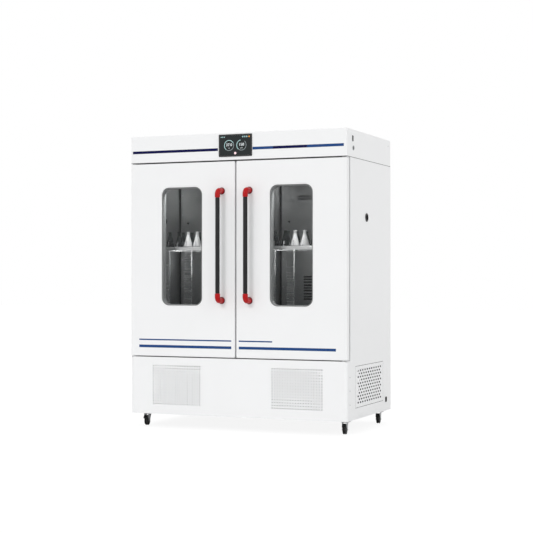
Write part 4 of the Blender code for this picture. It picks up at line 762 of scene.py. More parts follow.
def base_panel_shapes(corner, hole):
    """Base panel: punched front wall, quarter-round corners and a folded ledge on top."""
    rear = FACE - GAP
    shoulder = BASE_TOP - 0.004
    end = SIDE - corner - 0.008
    middles = (-FRONT_GRILLE_X, FRONT_GRILLE_X)
    columns = np.concatenate([spaced(FRONT_COLUMNS, middle, FRONT_PITCH_X) for middle in middles])
    rows = spaced(FRONT_ROWS, FRONT_GRILLE_Z, FRONT_PITCH_Z)
    shapes = [punched(columns, rows, (-end, BOTTOM), (end, shoulder), hole, FRONT, FRONT + SHEET, "Y")]
    angles = np.radians(np.linspace(0, 90, 9))
    arc = np.stack([np.sin(angles), 1 - np.cos(angles)], -1)
    walls = []
    for inset in (0, SHEET):
        curve = (SIDE - corner, FRONT + inset) + arc * (corner - inset)
        walls.append(np.concatenate([[(end, FRONT + inset)], curve, [(SIDE - inset, rear)]]))
    outline = np.concatenate([walls[0], walls[1][::-1]])
    for side in SIDES.values():
        shapes.append(mirrored(prism(outline, BOTTOM, shoulder, "Z"), side))

    def plan(inset):
        """The front and both corners seen from above, drawn in by an inset."""
        half = walls[0].copy()
        half[:, 0] = np.minimum(half[:, 0], SIDE - inset)
        half[:, 1] = np.maximum(half[:, 1], FRONT + inset)
        return np.concatenate([half, (half * (-1, 1))[::-1]])

    outlines = [plan(inset) for inset, drop in rounding(SHEET)[::-1]]
    depths = [BASE_TOP - drop for inset, drop in rounding(SHEET)[::-1]]
    outlines += [plan(0), plan(SHEET), plan(SHEET)]
    depths += [shoulder, shoulder, BASE_TOP - SHEET]
    shapes.append(slab(outlines, depths, "Z"))
    return shapes


def side_grille_shapes(low, high, hole):
    """Side grille: a punched strip per row, the slots of every other one shifted by half a pitch."""
    rows = spaced(SIDE_ROWS, (low[2] + high[2]) / 2, SIDE_PITCH_Z)
    edges = np.concatenate([[low[2]], (rows[1:] + rows[:-1]) / 2, [high[2]]])
    shapes = []
    for index, row in enumerate(rows):
        columns = spaced(SIDE_COLUMNS - index % 2, (low[1] + high[1]) / 2, SIDE_PITCH_Y)
        corners = ((low[1], edges[index]), (high[1], edges[index + 1]))
        shapes.append(punched(columns, row[None], *corners, hole, high[0], low[0], "X", 24, SIDE_SLOT))
    return shapes


def screw_shape(radius, centre):
    """Button-head screw on a right side face, with a round recess."""
    profile = [
        (0, 0.25 * radius),
        (0.35 * radius, 0.25 * radius),
        (0.42 * radius, 0.55 * radius),
        (0.75 * radius, 0.48 * radius),
        (0.95 * radius, 0.25 * radius),
        (radius, 0),
        (0, -0.001),
    ]
    return lathe(profile, centre, "X", 20)


class INCUBATOR_OT_header(bpy.types.Operator):
    """Build the header's cover, a dark ring along its lower edge that paints the seam's shade, and the
    stripes
    """

    bl_idname = "incubator.header"
    bl_label = "Header and stripes"

    def execute(self, context):
        settings = context.scene.incubator_cabinet
        shell = header_shape(settings.edge)
        piece("header_shell", [shell], white_paint(), "cabinet", ["header_cover"], even=True)
        # Dark ring under the header: painted shade of the seam
        inner, outer = (header_plan(inset, settings.edge) for inset in (0.0001, -0.0004))
        low, high = HEADER_LOW[2], HEADER_LOW[2] + SEAM
        ring = rings([inner, outer, outer, inner], [low, low, high, high], "Z")
        piece("header_seam_shade", [ring], black_rubber(), "cabinet", smooth=False)
        finishes = {
            "navy": finish_named("Navy film", printed, settings.navy),
            "blue": finish_named("Blue film", printed, settings.blue),
        }
        for tone, spans in HEADER_STRIPES.items():
            shapes = [strip(left, right, STRIPE_Z, STRIPE_HEIGHT) for left, right in spans]
            piece("header_stripe_" + tone, shapes, finishes[tone], "cabinet")
        for name in SIDES:
            shapes = [
                strip(left, right, BOTTOM + height, width)
                for side, left, right, height, width in DOOR_STRIPES
                if side == name
            ]
            piece(name + "_door_stripes", shapes, finishes["blue"], name + "_door")
        return {"FINISHED"}


class INCUBATOR_OT_base(bpy.types.Operator):
    """Build the base panel, the side grilles with dark rings that paint the shade in their joints, the dark
    strips that paint the shade in the door gaps, and the screws
    """

    bl_idname = "incubator.base"
    bl_label = "Base panels and grilles"

    def execute(self, context):
        settings = context.scene.incubator_cabinet
        shapes = base_panel_shapes(settings.corner, settings.front_hole)
        piece("base_front", shapes, white_paint(), "cabinet", ["base_front_panel"], even=True)
        low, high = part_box("right_side_grille")
        reach = GRILLE_FLANGE - SHEET + GRILLE_JOINT
        face_low = (SIDE - 2 * SHEET, low[1] + reach, low[2] + reach)
        face_high = (SIDE, high[1] - reach, high[2] - reach)
        shapes = side_grille_shapes(face_low, face_high, settings.side_hole)
        # Dark ring behind the grille's joint: painted shade in the joint
        outer = rounded(low[1], high[1], low[2], high[2], 0.004, 3)
        start, end = low[1] + GRILLE_SHADE_WIDTH, high[1] - GRILLE_SHADE_WIDTH
        bottom, top = low[2] + GRILLE_SHADE_WIDTH, high[2] - GRILLE_SHADE_WIDTH
        inner = rounded(start, end, bottom, top, 0.002, 3)
        depths = [GRILLE_SHADE_REAR, GRILLE_SHADE_REAR, GRILLE_SHADE_FRONT, GRILLE_SHADE_FRONT]
        dark_rubber = rings([outer, inner, inner, outer], depths, "X")
        for name, side in SIDES.items():
            both = [mirrored(shape, side) for shape in shapes]
            node = name + "_side_grille"
            piece(name + "_grille", both, white_paint(), "cabinet", [node], smooth=False)
            ring = mirrored(dark_rubber, side)
            piece(name + "_grille_shade_ring", [ring], black_rubber(), "cabinet", smooth=False)
        # Dark strips behind the door gaps: painted shade in the gaps
        strips = []
        for level in (BASE_TOP + GAP, HEADER_LOW[2] - GAP - SHEET):
            corner = (-GAP_STRIP_END, GAP_STRIP_FRONT, level)
            strips.append(box(corner, (GAP_STRIP_END, FACE - GAP, level + SHEET)))
        piece("gap_shade_strips", strips, black_rubber(), "cabinet", smooth=False)
        zinc = zinc_plate()
        places = [(SIDE, BASE_SCREW_Y, BOTTOM + height) for height in BASE_SCREWS]
        places.append(REAR_SCREW)
        screws = [screw_shape(settings.screw, centre) for centre in places]
        for name, side in SIDES.items():
            piece(name + "_screws", [mirrored(screw, side) for screw in screws], zinc, "cabinet")
        return {"FINISHED"}


class INCUBATOR_OT_body(bpy.types.Operator):
    """Give the CAD panels, liners and machinery their finishes"""

    bl_idname = "incubator.body"
    bl_label = "Panels and machinery"

    def execute(self, context):
        cabinet = context.scene.incubator_cabinet
        chamber = context.scene.incubator_chambers
        refinish(white_paint(), "left_side_panel", "right_side_panel", "back_panel", "door_frame")
        refinish(grey_paint(), "base_frame", "left_drive_housing", "right_drive_housing")
        lining = finish_named("Brushed liner", brushed_steel, chamber.steel, (0.02, 1, 1), 0.42)
        plate = finish_named("Brushed duct plate", brushed_steel, chamber.steel, (0.02, 1, 1), 0.38)
        refinish(lining, "left_chamber_liner", "right_chamber_liner")
        refinish(plate, "left_duct_panel", "right_duct_panel")
        foam = finish_named("Foam", foam_grip, (0.62, 0.55, 0.33))
        refinish(foam, "insulation")
        liner = finish_named("Liner plastic", moulded, (0.70, 0.71, 0.71), 0.42)
        refinish(liner, "left_door_liner", "right_door_liner")
        refinish(zinc_plate(), "left_drive_crank", "right_drive_crank")
        refinish(zinc_plate(), "left_idler_crank", "right_idler_crank", "condenser")
        dark = finish_named("Dark enamel", powder_coat, tuple(0.06 * tone for tone in cabinet.paint), 0.3)
        refinish(dark, "compressor")
        refinish(black_plastic(), "condenser_fan", "left_circulation_fan", "right_circulation_fan")
        return {"FINISHED"}


# Screen and fittings

# The screen: its housing's inset behind the bezel, the gauges' distance from the middle and their
# width, the icons' height above the middle and their radius
HOUSING_INSET = 0.006
GAUGE_X = 0.043
GAUGE_WIDTH = 0.0032
ICON_RISE = 0.053
ICON_RADIUS = 0.0045

# The rocker's length and its tilt in degrees, the depth of the switch's and the inlet's wells, and
# the places of the socket and the port
ROCKER_LENGTH = 0.026
ROCKER_TILT = 8
WELL_DEPTH = 0.009
SOCKET_Y = FRONT + 0.118
SOCKET_Z = BOTTOM + 1.694
PORT_Y = FRONT + 0.378
PORT_Z = BOTTOM + 1.271


def side_outline(low, high, inset, corner):
    """Rounded outline of a box's side face, drawn in by an inset."""
    return rounded(low[1] + inset, high[1] - inset, low[2] + inset, high[2] - inset, corner, 4)


class INCUBATOR_OT_screen(bpy.types.Operator):
    """Build the touch screen with its picture"""

    bl_idname = "incubator.screen"
    bl_label = "Touch screen"

    def execute(self, context):
        settings = context.scene.incubator_fittings
        low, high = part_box("display_bezel")
        glass_low, glass_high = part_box("display_glass")
        front = low[1]

        def bezel(inset):
            """The bezel's outline, drawn in by an inset."""
            return rounded(low[0] + inset, high[0] - inset, low[2] + inset, high[2] - inset, 0.004 - inset, 4)

        border = glass_low[0] - low[0] - GAP
        sunk = glass_high[1] + GAP
        rows = [(inset, front + drop) for inset, drop in rounding(0.0015)]
        rows += [(border - 0.0008, front), (border, front + 0.0008), (border, sunk), (border - 0.004, sunk)]
        rows += [(border - 0.004, FRONT - GAP), (0, FRONT - GAP)]
        ring = rings([bezel(inset) for inset, depth in rows], [depth for inset, depth in rows], "Y")
        black = black_plastic()
        piece("screen_bezel", [ring], black, "cabinet", even=True)
        near = (low[0] + HOUSING_INSET, FRONT + GAP, low[2] + HOUSING_INSET)
        far = (high[0] - HOUSING_INSET, high[1], high[2] - HOUSING_INSET)
        piece("screen_housing", [box(near, far)], black, "cabinet", ["display_bezel"])
        outline = rounded(glass_low[0], glass_high[0], glass_low[2], glass_high[2], 0.0005, 2)
        ground = finish_named("Screen ground", moulded, settings.ground, 0.18, 0.000002, 0.25)
        face = glass_low[1] + 0.0006
        pane = slab([outline, outline], [face, glass_high[1]], "Y")
        piece("screen_pane", [pane], ground, "cabinet", ["display_glass"])
        self.picture(settings, face - DECAL - 0.0001, (low[2] + high[2]) / 2)
        return {"FINISHED"}

    def picture(self, settings, front, middle):
        """Two ring gauges with their values, a row of marks, and a round button below."""
        white = finish_named("Screen white", glowing, (0.80, 0.86, 0.88), settings.glow)
        teal = finish_named("Screen teal", glowing, settings.teal, settings.glow)
        orange = finish_named("Screen orange", glowing, (0.85, 0.32, 0.05), settings.glow)
        pink = finish_named("Screen pink", glowing, (0.85, 0.62, 0.66), settings.glow)
        dim = finish_named("Screen dim", glowing, (0.22, 0.26, 0.27), settings.glow)
        ring = settings.ring
        bright, faint, marks = [], [], []
        inner = ring - GAUGE_WIDTH
        for u, value, unit, sweep in ((-GAUGE_X, "37.0", "°C", 200), (GAUGE_X, "150", "rpm", 130)):
            faint.append(band(u, middle, inner, ring, -230, 50, front))
            marks.append(band(u, middle, inner, ring, 230 - sweep, 230, front - DECAL))
            bright.append(lettering(value, 0.025, u, middle + 0.003, front))
            bright.append(lettering(unit, 0.010, u, middle - 0.018, front))
        for u in spaced(3, -0.087, 0.011):
            marks.append(film(circle(u, middle + 0.054, 0.0032, 12), front))
        for u in spaced(3, 0.066, 0.014):
            marks.append(band(u, middle + ICON_RISE, 0.0022, ICON_RADIUS, 0, 360, front))
        alarm = film(circle(0.096, middle + ICON_RISE, ICON_RADIUS, 16), front)
        button = film(circle(0.0, middle - 0.050, 0.0080, 24), front)
        piece("screen_values", bright, white, "cabinet", smooth=False)
        piece("screen_dials", faint, dim, "cabinet", smooth=False)
        piece("screen_marks", marks, teal, "cabinet", smooth=False)
        piece("screen_alarm", [alarm], orange, "cabinet", smooth=False)
        piece("screen_button", [button], pink, "cabinet", smooth=False)


class INCUBATOR_OT_fittings(bpy.types.Operator):
    """Build the rocker switch, the round socket, the power inlet and the port collars"""

    bl_idname = "incubator.fittings"
    bl_label = "Switch, sockets and ports"

    def execute(self, context):
        black = black_plastic()
        low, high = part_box("switch_frame")
        rock_low, rock_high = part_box("power_rocker")

        def rim(inset):
            """The frame's outline, drawn in by an inset."""
            return side_outline(low, high, inset, 0.0035 - inset)

        def mouth(grow):
            """Outline of the well round the rocker, grown by an amount."""
            start, end = rock_low[1] - 0.0004 - grow, rock_high[1] + 0.0004 + grow
            return rounded(start, end, rock_low[2] - 0.0006 - grow, rock_high[2] + 0.0006 + grow, 0.001, 4)

        rear = SIDE + GAP
        outlines = [rim(inset) for inset, drop in rounding(0.0012)]
        depths = [high[0] - drop for inset, drop in rounding(0.0012)]
        outlines += [mouth(0.0004), mouth(0), mouth(0), rim(0)]
        depths += [high[0], high[0] - 0.0005, rear, rear]
        piece("switch_rim", [rings(outlines, depths, "X")], black, "cabinet", even=True)
        pivot = (SIDE, (rock_low[1] + rock_high[1]) / 2, (rock_low[2] + rock_high[2]) / 2)
        self.rocker(pivot, rock_high[1] - rock_low[1], ROCKER_LENGTH, black)
        self.well(low, mouth(0), mouth(0.0012), black)
        self.socket(black)
        self.inlet(black)
        self.ports(black)
        return {"FINISHED"}

    def well(self, low, mouth, outer, finish):
        """Switch body behind the panel: the well's walls and floor."""
        front = SIDE + GAP / 2
        shape = slab([outer, outer, mouth, mouth], [low[0], front, front, SIDE - WELL_DEPTH], "X")
        piece("switch_body", [shape], finish, "cabinet", ["switch_frame"])

    def rocker(self, pivot, width, length, finish):
        """Dished rocker: its face falls by d (1 - s^2) towards the middle, s from -1 to 1 along it."""
        along = np.linspace(-1, 1, 15)
        face = 0.0042 - 0.0016 * (1 - along**2)
        outline = np.stack([face, along * length / 2], -1)
        back = np.array([(0.0004, length / 4), (0.0004, -length / 4)])
        profile = np.concatenate([outline, back])
        side_view = softened(profile + (pivot[0] - 0.002, pivot[2]), 0.0006, 2)
        shape = prism(side_view, pivot[1] - width / 2, pivot[1] + width / 2, "Y")
        shape = turned(shape, (pivot[0] - 0.002, pivot[1], pivot[2]), ROCKER_TILT, "Y")
        piece("rocker", [shape], finish, "power_rocker", ["power_rocker"], even=True)

    def socket(self, black):
        """Round communication socket: a grey flange with a sunk black insert and five contacts."""
        centre = np.array([SIDE, SOCKET_Y, SOCKET_Z])
        flange = [
            (0.0098, 0.0004), (0.0098, 0.0024), (0.0103, 0.0029), (0.0132, 0.0029),
            (0.0142, 0.0026), (0.0149, 0.0016), (0.0150, GAP), (0.0098, GAP),
        ]
        grey = finish_named("Grey plastic", moulded, (0.34, 0.35, 0.36), 0.4)
        piece("round_socket", [turned_ring(flange, centre, "X", 40)], grey, "cabinet")
        insert = [(0, 0.0008), (0.0094, 0.0008), (0.0096, GAP), (0, GAP)]
        piece("socket_insert", [lathe(insert, centre, "X", 32)], black, "cabinet")
        pins = []
        for angle in np.radians([90, 162, 234, 306, 18]):
            spot = centre + (0.0008, 0.0052 * math.cos(angle), 0.0052 * math.sin(angle))
            pins.append(lathe([(0, 0.0012), (0.0007, 0.0010), (0.0009, 0), (0, 0)], spot, "X", 10))
        piece("socket_contacts", pins, zinc_plate(), "cabinet")

    def inlet(self, black):
        """Power inlet: a flanged shroud round a sunk floor with three blades."""
        low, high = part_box("power_inlet")
        floor = SIDE - WELL_DEPTH
        rows = [(0.0025, low[0]), (0.0025, SIDE + GAP), (0, SIDE + GAP)]
        rows += [(inset, high[0] - drop) for inset, drop in rounding(0.001)]
        rows += [(0.0045, high[0]), (0.005, high[0] - 0.0005), (0.005, floor)]
        outlines = [side_outline(low, high, inset, 0.003 - inset / 3) for inset, depth in rows]
        shape = slab(outlines, [depth for inset, depth in rows], "X")
        piece("inlet_shroud", [shape], black, "cabinet", ["power_inlet"], even=True)
        middle_y = (low[1] + high[1]) / 2
        middle_z = (low[2] + high[2]) / 2
        blades = []
        for u, v in ((0, 0.005), (-0.006, -0.003), (0.006, -0.003)):
            corner = np.array([floor - 0.001, middle_y + u, middle_z + v])
            blades.append(box(corner - (0, 0.0009, 0.0022), corner + (0.0085, 0.0009, 0.0022)))
        piece("inlet_blades", blades, zinc_plate(), "cabinet")

    def ports(self, black):
        """Cable ports: a collar that lines the sleeve from outside to inside the chamber."""
        profile = [
            (0.0190, 0.0030), (0.0196, 0.0041), (0.0205, 0.0045), (0.0250, 0.0045),
            (0.0266, 0.0040), (0.0273, 0.0028), (0.0273, GAP), (0.0250, GAP),
            (0.0250, -0.0004), (0.0194, -0.0004), (0.0194, -0.0600), (0.0225, -0.0605),
            (0.0225, -0.0620), (0.0190, -0.0620),
        ]
        for name, side in SIDES.items():
            collar = mirrored(turned_ring(profile, (SIDE, PORT_Y, PORT_Z), "X", 48), side)
            piece(name + "_port_collar", [collar], black, "cabinet", even=True)


# Doors

# A pane's thickness, the spacer's inset from the glass faces, and the handles: distance from the
# middle, reach forward, radii of an elbow's bend and of its tube, and from its tube to its end
PANE = 0.004
SPACER_INSET = 0.0043
HANDLE_X = 0.096
HANDLE_REACH = 0.065
HANDLE_BEND = 0.026
ELBOW_RADIUS = 0.0170
ELBOW_END = 0.020


def window(grow):
    """Outline of the right window, grown by an amount."""
    low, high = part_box("right_window_glass")
    grow += GAP
    return rounded(low[0] - grow, high[0] + grow, low[2] - grow, high[2] + grow, 0.050 + grow)


def door_plan(inset, corner):
    """Outline of the right door, drawn in by an inset."""
    low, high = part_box("right_door_shell")
    return rounded(low[0] + inset, high[0] - inset, low[2] + inset, high[2] - inset, corner - inset)


def door_shape(settings):
    """Door pan: rings from its rear rim round the edge, over the face and into the window."""
    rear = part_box("right_door_shell")[1][1]
    edge = settings.edge
    outlines = [door_plan(0, settings.corner)]
    depths = [rear]
    for inset, drop in rounding(edge):
        outlines.append(door_plan(inset, settings.corner))
        depths.append(FRONT + drop)
    for inset, drop in rounding(0.0012, 3)[::-1]:
        outlines.append(window(settings.trim + inset))
        depths.append(FRONT + drop)
    outlines.append(window(settings.trim))
    depths.append(rear)
    return rings(outlines, depths, "Y")


def trim_shape(width, low, high):
    """Trim round the window: a ring with two rounded front edges."""
    outer = width - GAP
    rows = [(outer, high), (outer, low + 0.0008), (outer - 0.0008, low)]
    rows += [(0.0010, low), (0.0002, low + 0.0008), (0.0002, high)]
    return rings([window(grow) for grow, depth in rows], [depth for grow, depth in rows], "Y")


def pane_shape(front, thickness):
    """Pane of glass with a small chamfer round its front."""
    rows = [(-0.0008, front), (0, front + 0.0008), (0, front + thickness)]
    return slab([window(grow - GAP) for grow, depth in rows], [depth for grow, depth in rows], "Y")


def gasket_shape():
    """Bellows gasket: two ribs, w = w0 + a |sin(2 pi t)| on both sides of the ring."""
    low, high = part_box("right_door_gasket")
    steps = np.linspace(0, 1, 13)
    bulge = 0.0016 * np.abs(np.sin(2 * math.pi * steps))

    def outline(inset):
        """The gasket's outline, drawn in by an inset."""
        return rounded(low[0] + inset, high[0] - inset, low[2] + inset, high[2] - inset, 0.020)

    depths = low[1] + (high[1] - low[1]) * steps
    outer = [outline(0.0018 - lift) for lift in bulge]
    inner = [outline(0.0200 + lift) for lift in bulge][::-1]
    return rings(outer + inner, [*depths, *depths[::-1]], "Y")


def elbow_shapes(side, level, reach, up):
    """Elbow: a bar out of the door, a quarter bend and a leg with a collar, on a round flange."""
    x = side * HANDLE_X
    out = FRONT - HANDLE_REACH
    angles = np.radians(np.linspace(0, 90, 13))
    forward = out + HANDLE_BEND * (1 - np.sin(angles))
    upright = level - up * HANDLE_BEND * (1 - np.cos(angles))
    curve = np.stack([np.full(13, x), forward, upright], -1)
    start = np.array([[x, FRONT - 0.0060, level], [x, FRONT - 0.012, level], [x, FRONT - 0.020, level]])
    leg = np.array([[x, out, level - up * drop] for drop in np.linspace(0.031, reach - 0.0035, 4)])
    tip = np.array([[x, out, level - up * (reach - 0.0012)], [x, out, level - up * reach]])
    path = np.concatenate([start, curve, leg, tip])
    radius = np.full(len(path), ELBOW_RADIUS)
    radius[:2] = (0.0178, 0.0172)
    radius[-2:] = (0.0166, 0.0155)
    flange = [
        (0, -0.0056), (0.0205, -0.0056), (0.0220, -0.0050), (0.0228, -0.0038),
        (0.0228, -0.0012), (0.0225, -GAP), (0, -GAP),
    ]
    return bar(path, radius, (1, 0, 0), 28), lathe(flange, (x, FRONT, level), "Y", 40)


class INCUBATOR_OT_doors(bpy.types.Operator):
    """Build both doors' pans, window trims, glass and gaskets"""

    bl_idname = "incubator.doors"
    bl_label = "Doors and windows"

    def execute(self, context):
        settings = context.scene.incubator_doors
        low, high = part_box("right_window_glass")
        # The trim's white, lifted above the paint's, is partly a painted highlight round the window
        edging = finish_named("Window trim", moulded, (0.95, 0.95, 0.95), 0.35)
        tinted = finish_named("Tinted glass", thin_glass, settings.tint, settings.density)
        clear = finish_named("Inner glass", thin_glass, (0.10, 0.11, 0.11), 0.05)
        rubber = black_rubber()
        enamel = finish_named("Spacer enamel", moulded, (0.30, 0.31, 0.31), 0.4)
        front, back = low[1] + SPACER_INSET, high[1] - SPACER_INSET
        outer, inner = window(-0.0003), window(-0.0083)
        spacer = rings([outer, inner, inner, outer], [front, front, back, back], "Y")
        for name, side in SIDES.items():
            body = name + "_door"
            pan = mirrored(door_shape(settings), side)
            shell = name + "_door_shell"
            piece(name + "_door_pan", [pan], white_paint(), body, [shell], even=True)
            ring = mirrored(trim_shape(settings.trim, FRONT - 0.0004, FRONT + 0.006), side)
            piece(name + "_window_trim", [ring], edging, body, even=True)
            pane = mirrored(pane_shape(low[1], PANE), side)
            piece(name + "_outer_pane", [pane], tinted, body, [name + "_window_glass"])
            pane = mirrored(pane_shape(high[1] - PANE, PANE), side)
            piece(name + "_inner_pane", [pane], clear, body)
            piece(name + "_pane_spacer", [mirrored(spacer, side)], enamel, body)
            dark_rubber = mirrored(gasket_shape(), side)
            piece(name + "_gasket", [dark_rubber], rubber, body, [name + "_door_gasket"])
        return {"FINISHED"}


class INCUBATOR_OT_handles(bpy.types.Operator):
    """Build both bar handles"""

    bl_idname = "incubator.handles"
    bl_label = "Handles"

    def execute(self, context):
        settings = context.scene.incubator_doors
        red = finish_named("Red plastic", moulded, settings.red, 0.30, 0.00001, 0.2)
        # Darkened red of the flanges: painted shade
        shaded_red = finish_named("Dark red plastic", moulded, settings.flange, 0.35, 0.00001, 0.25)
        grip = finish_named("Foam grip", foam_grip, settings.grip)
        for name, side in SIDES.items():
            body = name + "_door"
            for place_name, up in (("upper", 1), ("lower", -1)):
                node = name + "_" + place_name + "_handle_elbow"
                low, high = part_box(node)
                level = high[2] - ELBOW_END if up > 0 else low[2] + ELBOW_END
                reach = high[2] - low[2] - ELBOW_END
                elbow, flange = elbow_shapes(side, level, reach, up)
                piece(name + "_" + place_name + "_elbow", [elbow], red, body, [node])
                piece(name + "_" + place_name + "_flange", [flange], shaded_red, body)
            low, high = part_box(name + "_handle_grip")
            half = (high[2] - low[2]) / 2
            rise = np.array([1, 1 - 0.0016 / half, 1 - 0.004 / half])
            heights = np.concatenate([-rise, rise[::-1]]) * half
            radii = [0.0118, 0.0134, 0.0140, 0.0140, 0.0134, 0.0118]
            profile = [(0, -half), *zip(radii, heights), (0, half)]
            centre = (side * HANDLE_X, (low[1] + high[1]) / 2, (low[2] + high[2]) / 2)
            shape = lathe(profile, centre, "Z", 36)
            piece(name + "_grip", [shape], grip, body, [name + "_handle_grip"])
        return {"FINISHED"}


# Chambers

# A duct panel: its screws' heights above the base and their inset, half the width and the height
# of the dark strips along its edges, which paint the shade in the chamber's corners, its sensor's
# place, and its louvres: the lowest row, the steps between the three blocks and between a block's
# three rows, and half their length
DUCT_SCREWS = (0.455, 0.640, 0.825, 1.010, 1.190, 1.322, 1.457, 1.545)
DUCT_SCREW_INSET = 0.021
SHADE_STRIP_HALF = 0.0045
SHADE_STRIP_HEIGHT = 0.006
SENSOR_X = -0.248
SENSOR_Z = BOTTOM + 1.263
LOUVRE_Z = BOTTOM + 0.742
LOUVRE_BLOCK = 0.057
LOUVRE_ROW = 0.018
LOUVRE_HALF = 0.1415

# Racks: half a deck's width and depth, its corner radius, lip, sheet and distance to the next deck;
# thickness and top of the pale strips that paint the highlight along the lips; half width and depth
# of a post; distance between the bearing cups. Then the flasks: pitch in a row and from row to
# row, the front row's inset, and the thickness of the clamps' plate
DECK_HALF_X = 0.225
DECK_HALF_Y = 0.210
DECK_CORNER = 0.050
DECK_LIP = 0.024
DECK_SHEET = 0.002
DECK_SPACING = 0.384
HIGHLIGHT_STRIP = 0.0012
HIGHLIGHT_STRIP_DROP = 0.0045
POST_HALF = 0.025
POST_DEPTH = 0.018
CRANK_SPACING = 0.150
FLASK_PITCH = 0.066
FLASK_ROW_PITCH = 0.124
FLASK_INSET = 0.0315
CLAMP_PLATE = 0.0012


def deck_plan(centre, inset):
    """A deck's outline, drawn in by an inset."""
    x, y = centre
    left, right = x - DECK_HALF_X + inset, x + DECK_HALF_X - inset
    return rounded(left, right, y - DECK_HALF_Y + inset, y + DECK_HALF_Y - inset, DECK_CORNER - inset, 10)


def deck_shape(centre, top, edge):
    """Deck: outlines from its middle out over the rounded edge, down the lip and back inside."""
    rows = [(inset, top - drop) for inset, drop in rounding(edge, 5)[::-1]]
    rows += [(0, top - DECK_LIP), (DECK_SHEET, top - DECK_LIP), (DECK_SHEET, top - edge)]
    rows.append((edge, top - DECK_SHEET))
    return slab([deck_plan(centre, inset) for inset, depth in rows], [depth for inset, depth in rows], "Z")


def highlight_strip_shape(centre, top, edge):
    """Pale strip round a deck's rounded edge, standing proud of the lip: a painted highlight along it."""
    outer, inner = deck_plan(centre, -HIGHLIGHT_STRIP), deck_plan(centre, 0.0002)
    low, high = top - edge - 0.0004, top - HIGHLIGHT_STRIP_DROP
    return rings([outer, outer, inner, inner], [low, high, high, low], "Z")


def post_shape(centre, across, back, low, high):
    """Channel post between the decks, with softened bends."""
    middle = centre[0] + across * (DECK_HALF_X - 0.003 - POST_HALF)
    web = centre[1] + back * (DECK_HALF_Y - 0.034 - POST_DEPTH)
    tip = web + back * POST_DEPTH
    inner = web + back * DECK_SHEET
    left, right = middle - POST_HALF, middle + POST_HALF
    outline = [
        (left, web), (right, web), (right, tip), (right - DECK_SHEET, tip),
        (right - DECK_SHEET, inner), (left + DECK_SHEET, inner), (left + DECK_SHEET, tip), (left, tip),
    ]
    return prism(softened(outline, 0.0009, 2), low, high, "Z")


def flask_profile():
    """Conical flask from its foot up the outside, over the rim and down the inside."""
    foot = np.radians(np.linspace(-90, 10, 7))
    base = np.stack([0.0241 + 0.0044 * np.cos(foot), 0.0046 + 0.0044 * np.sin(foot)], -1)
    bend = np.linspace(0, 1, 7)[:, None]
    start, knee, end = np.array([(0.0136, 0.062), (0.0103, 0.0735), (0.0103, 0.084)])
    shoulder = (1 - bend) ** 2 * start + 2 * bend * (1 - bend) * knee + bend**2 * end
    rim = [
        (0.0103, 0.0925), (0.0112, 0.0938), (0.0128, 0.0945),
        (0.0133, 0.0960), (0.0130, 0.0974), (0.0116, 0.0980),
    ]
    bore = [(0.0094, 0.0974), (0.0090, 0.0950)]
    inside = (shoulder - (0.0013, 0))[::-1]
    floor = [(0.0262, 0.0090), (0.0255, 0.0040), (0.0225, 0.0018), (0, 0.0016)]
    return np.concatenate([[(0, 0.0002)], base, shoulder, rim, bore, inside, floor])


def clamp_arm(x, y, low, quarter):
    """Spring arm that leans against the flask's cone, its tip bent outwards."""
    outline = [
        (0.0301, low), (0.0313, low), (0.0301, low + 0.011), (0.0262, low + 0.029), (0.0272, low + 0.033),
        (0.0262, low + 0.0335), (0.0250, low + 0.029), (0.0289, low + 0.011),
    ]
    shape = prism(softened(np.array(outline) + (x, 0), 0.0005, 2), y - 0.004, y + 0.004, "Y")
    return turned(shape, (x, y, 0), 90 * quarter)


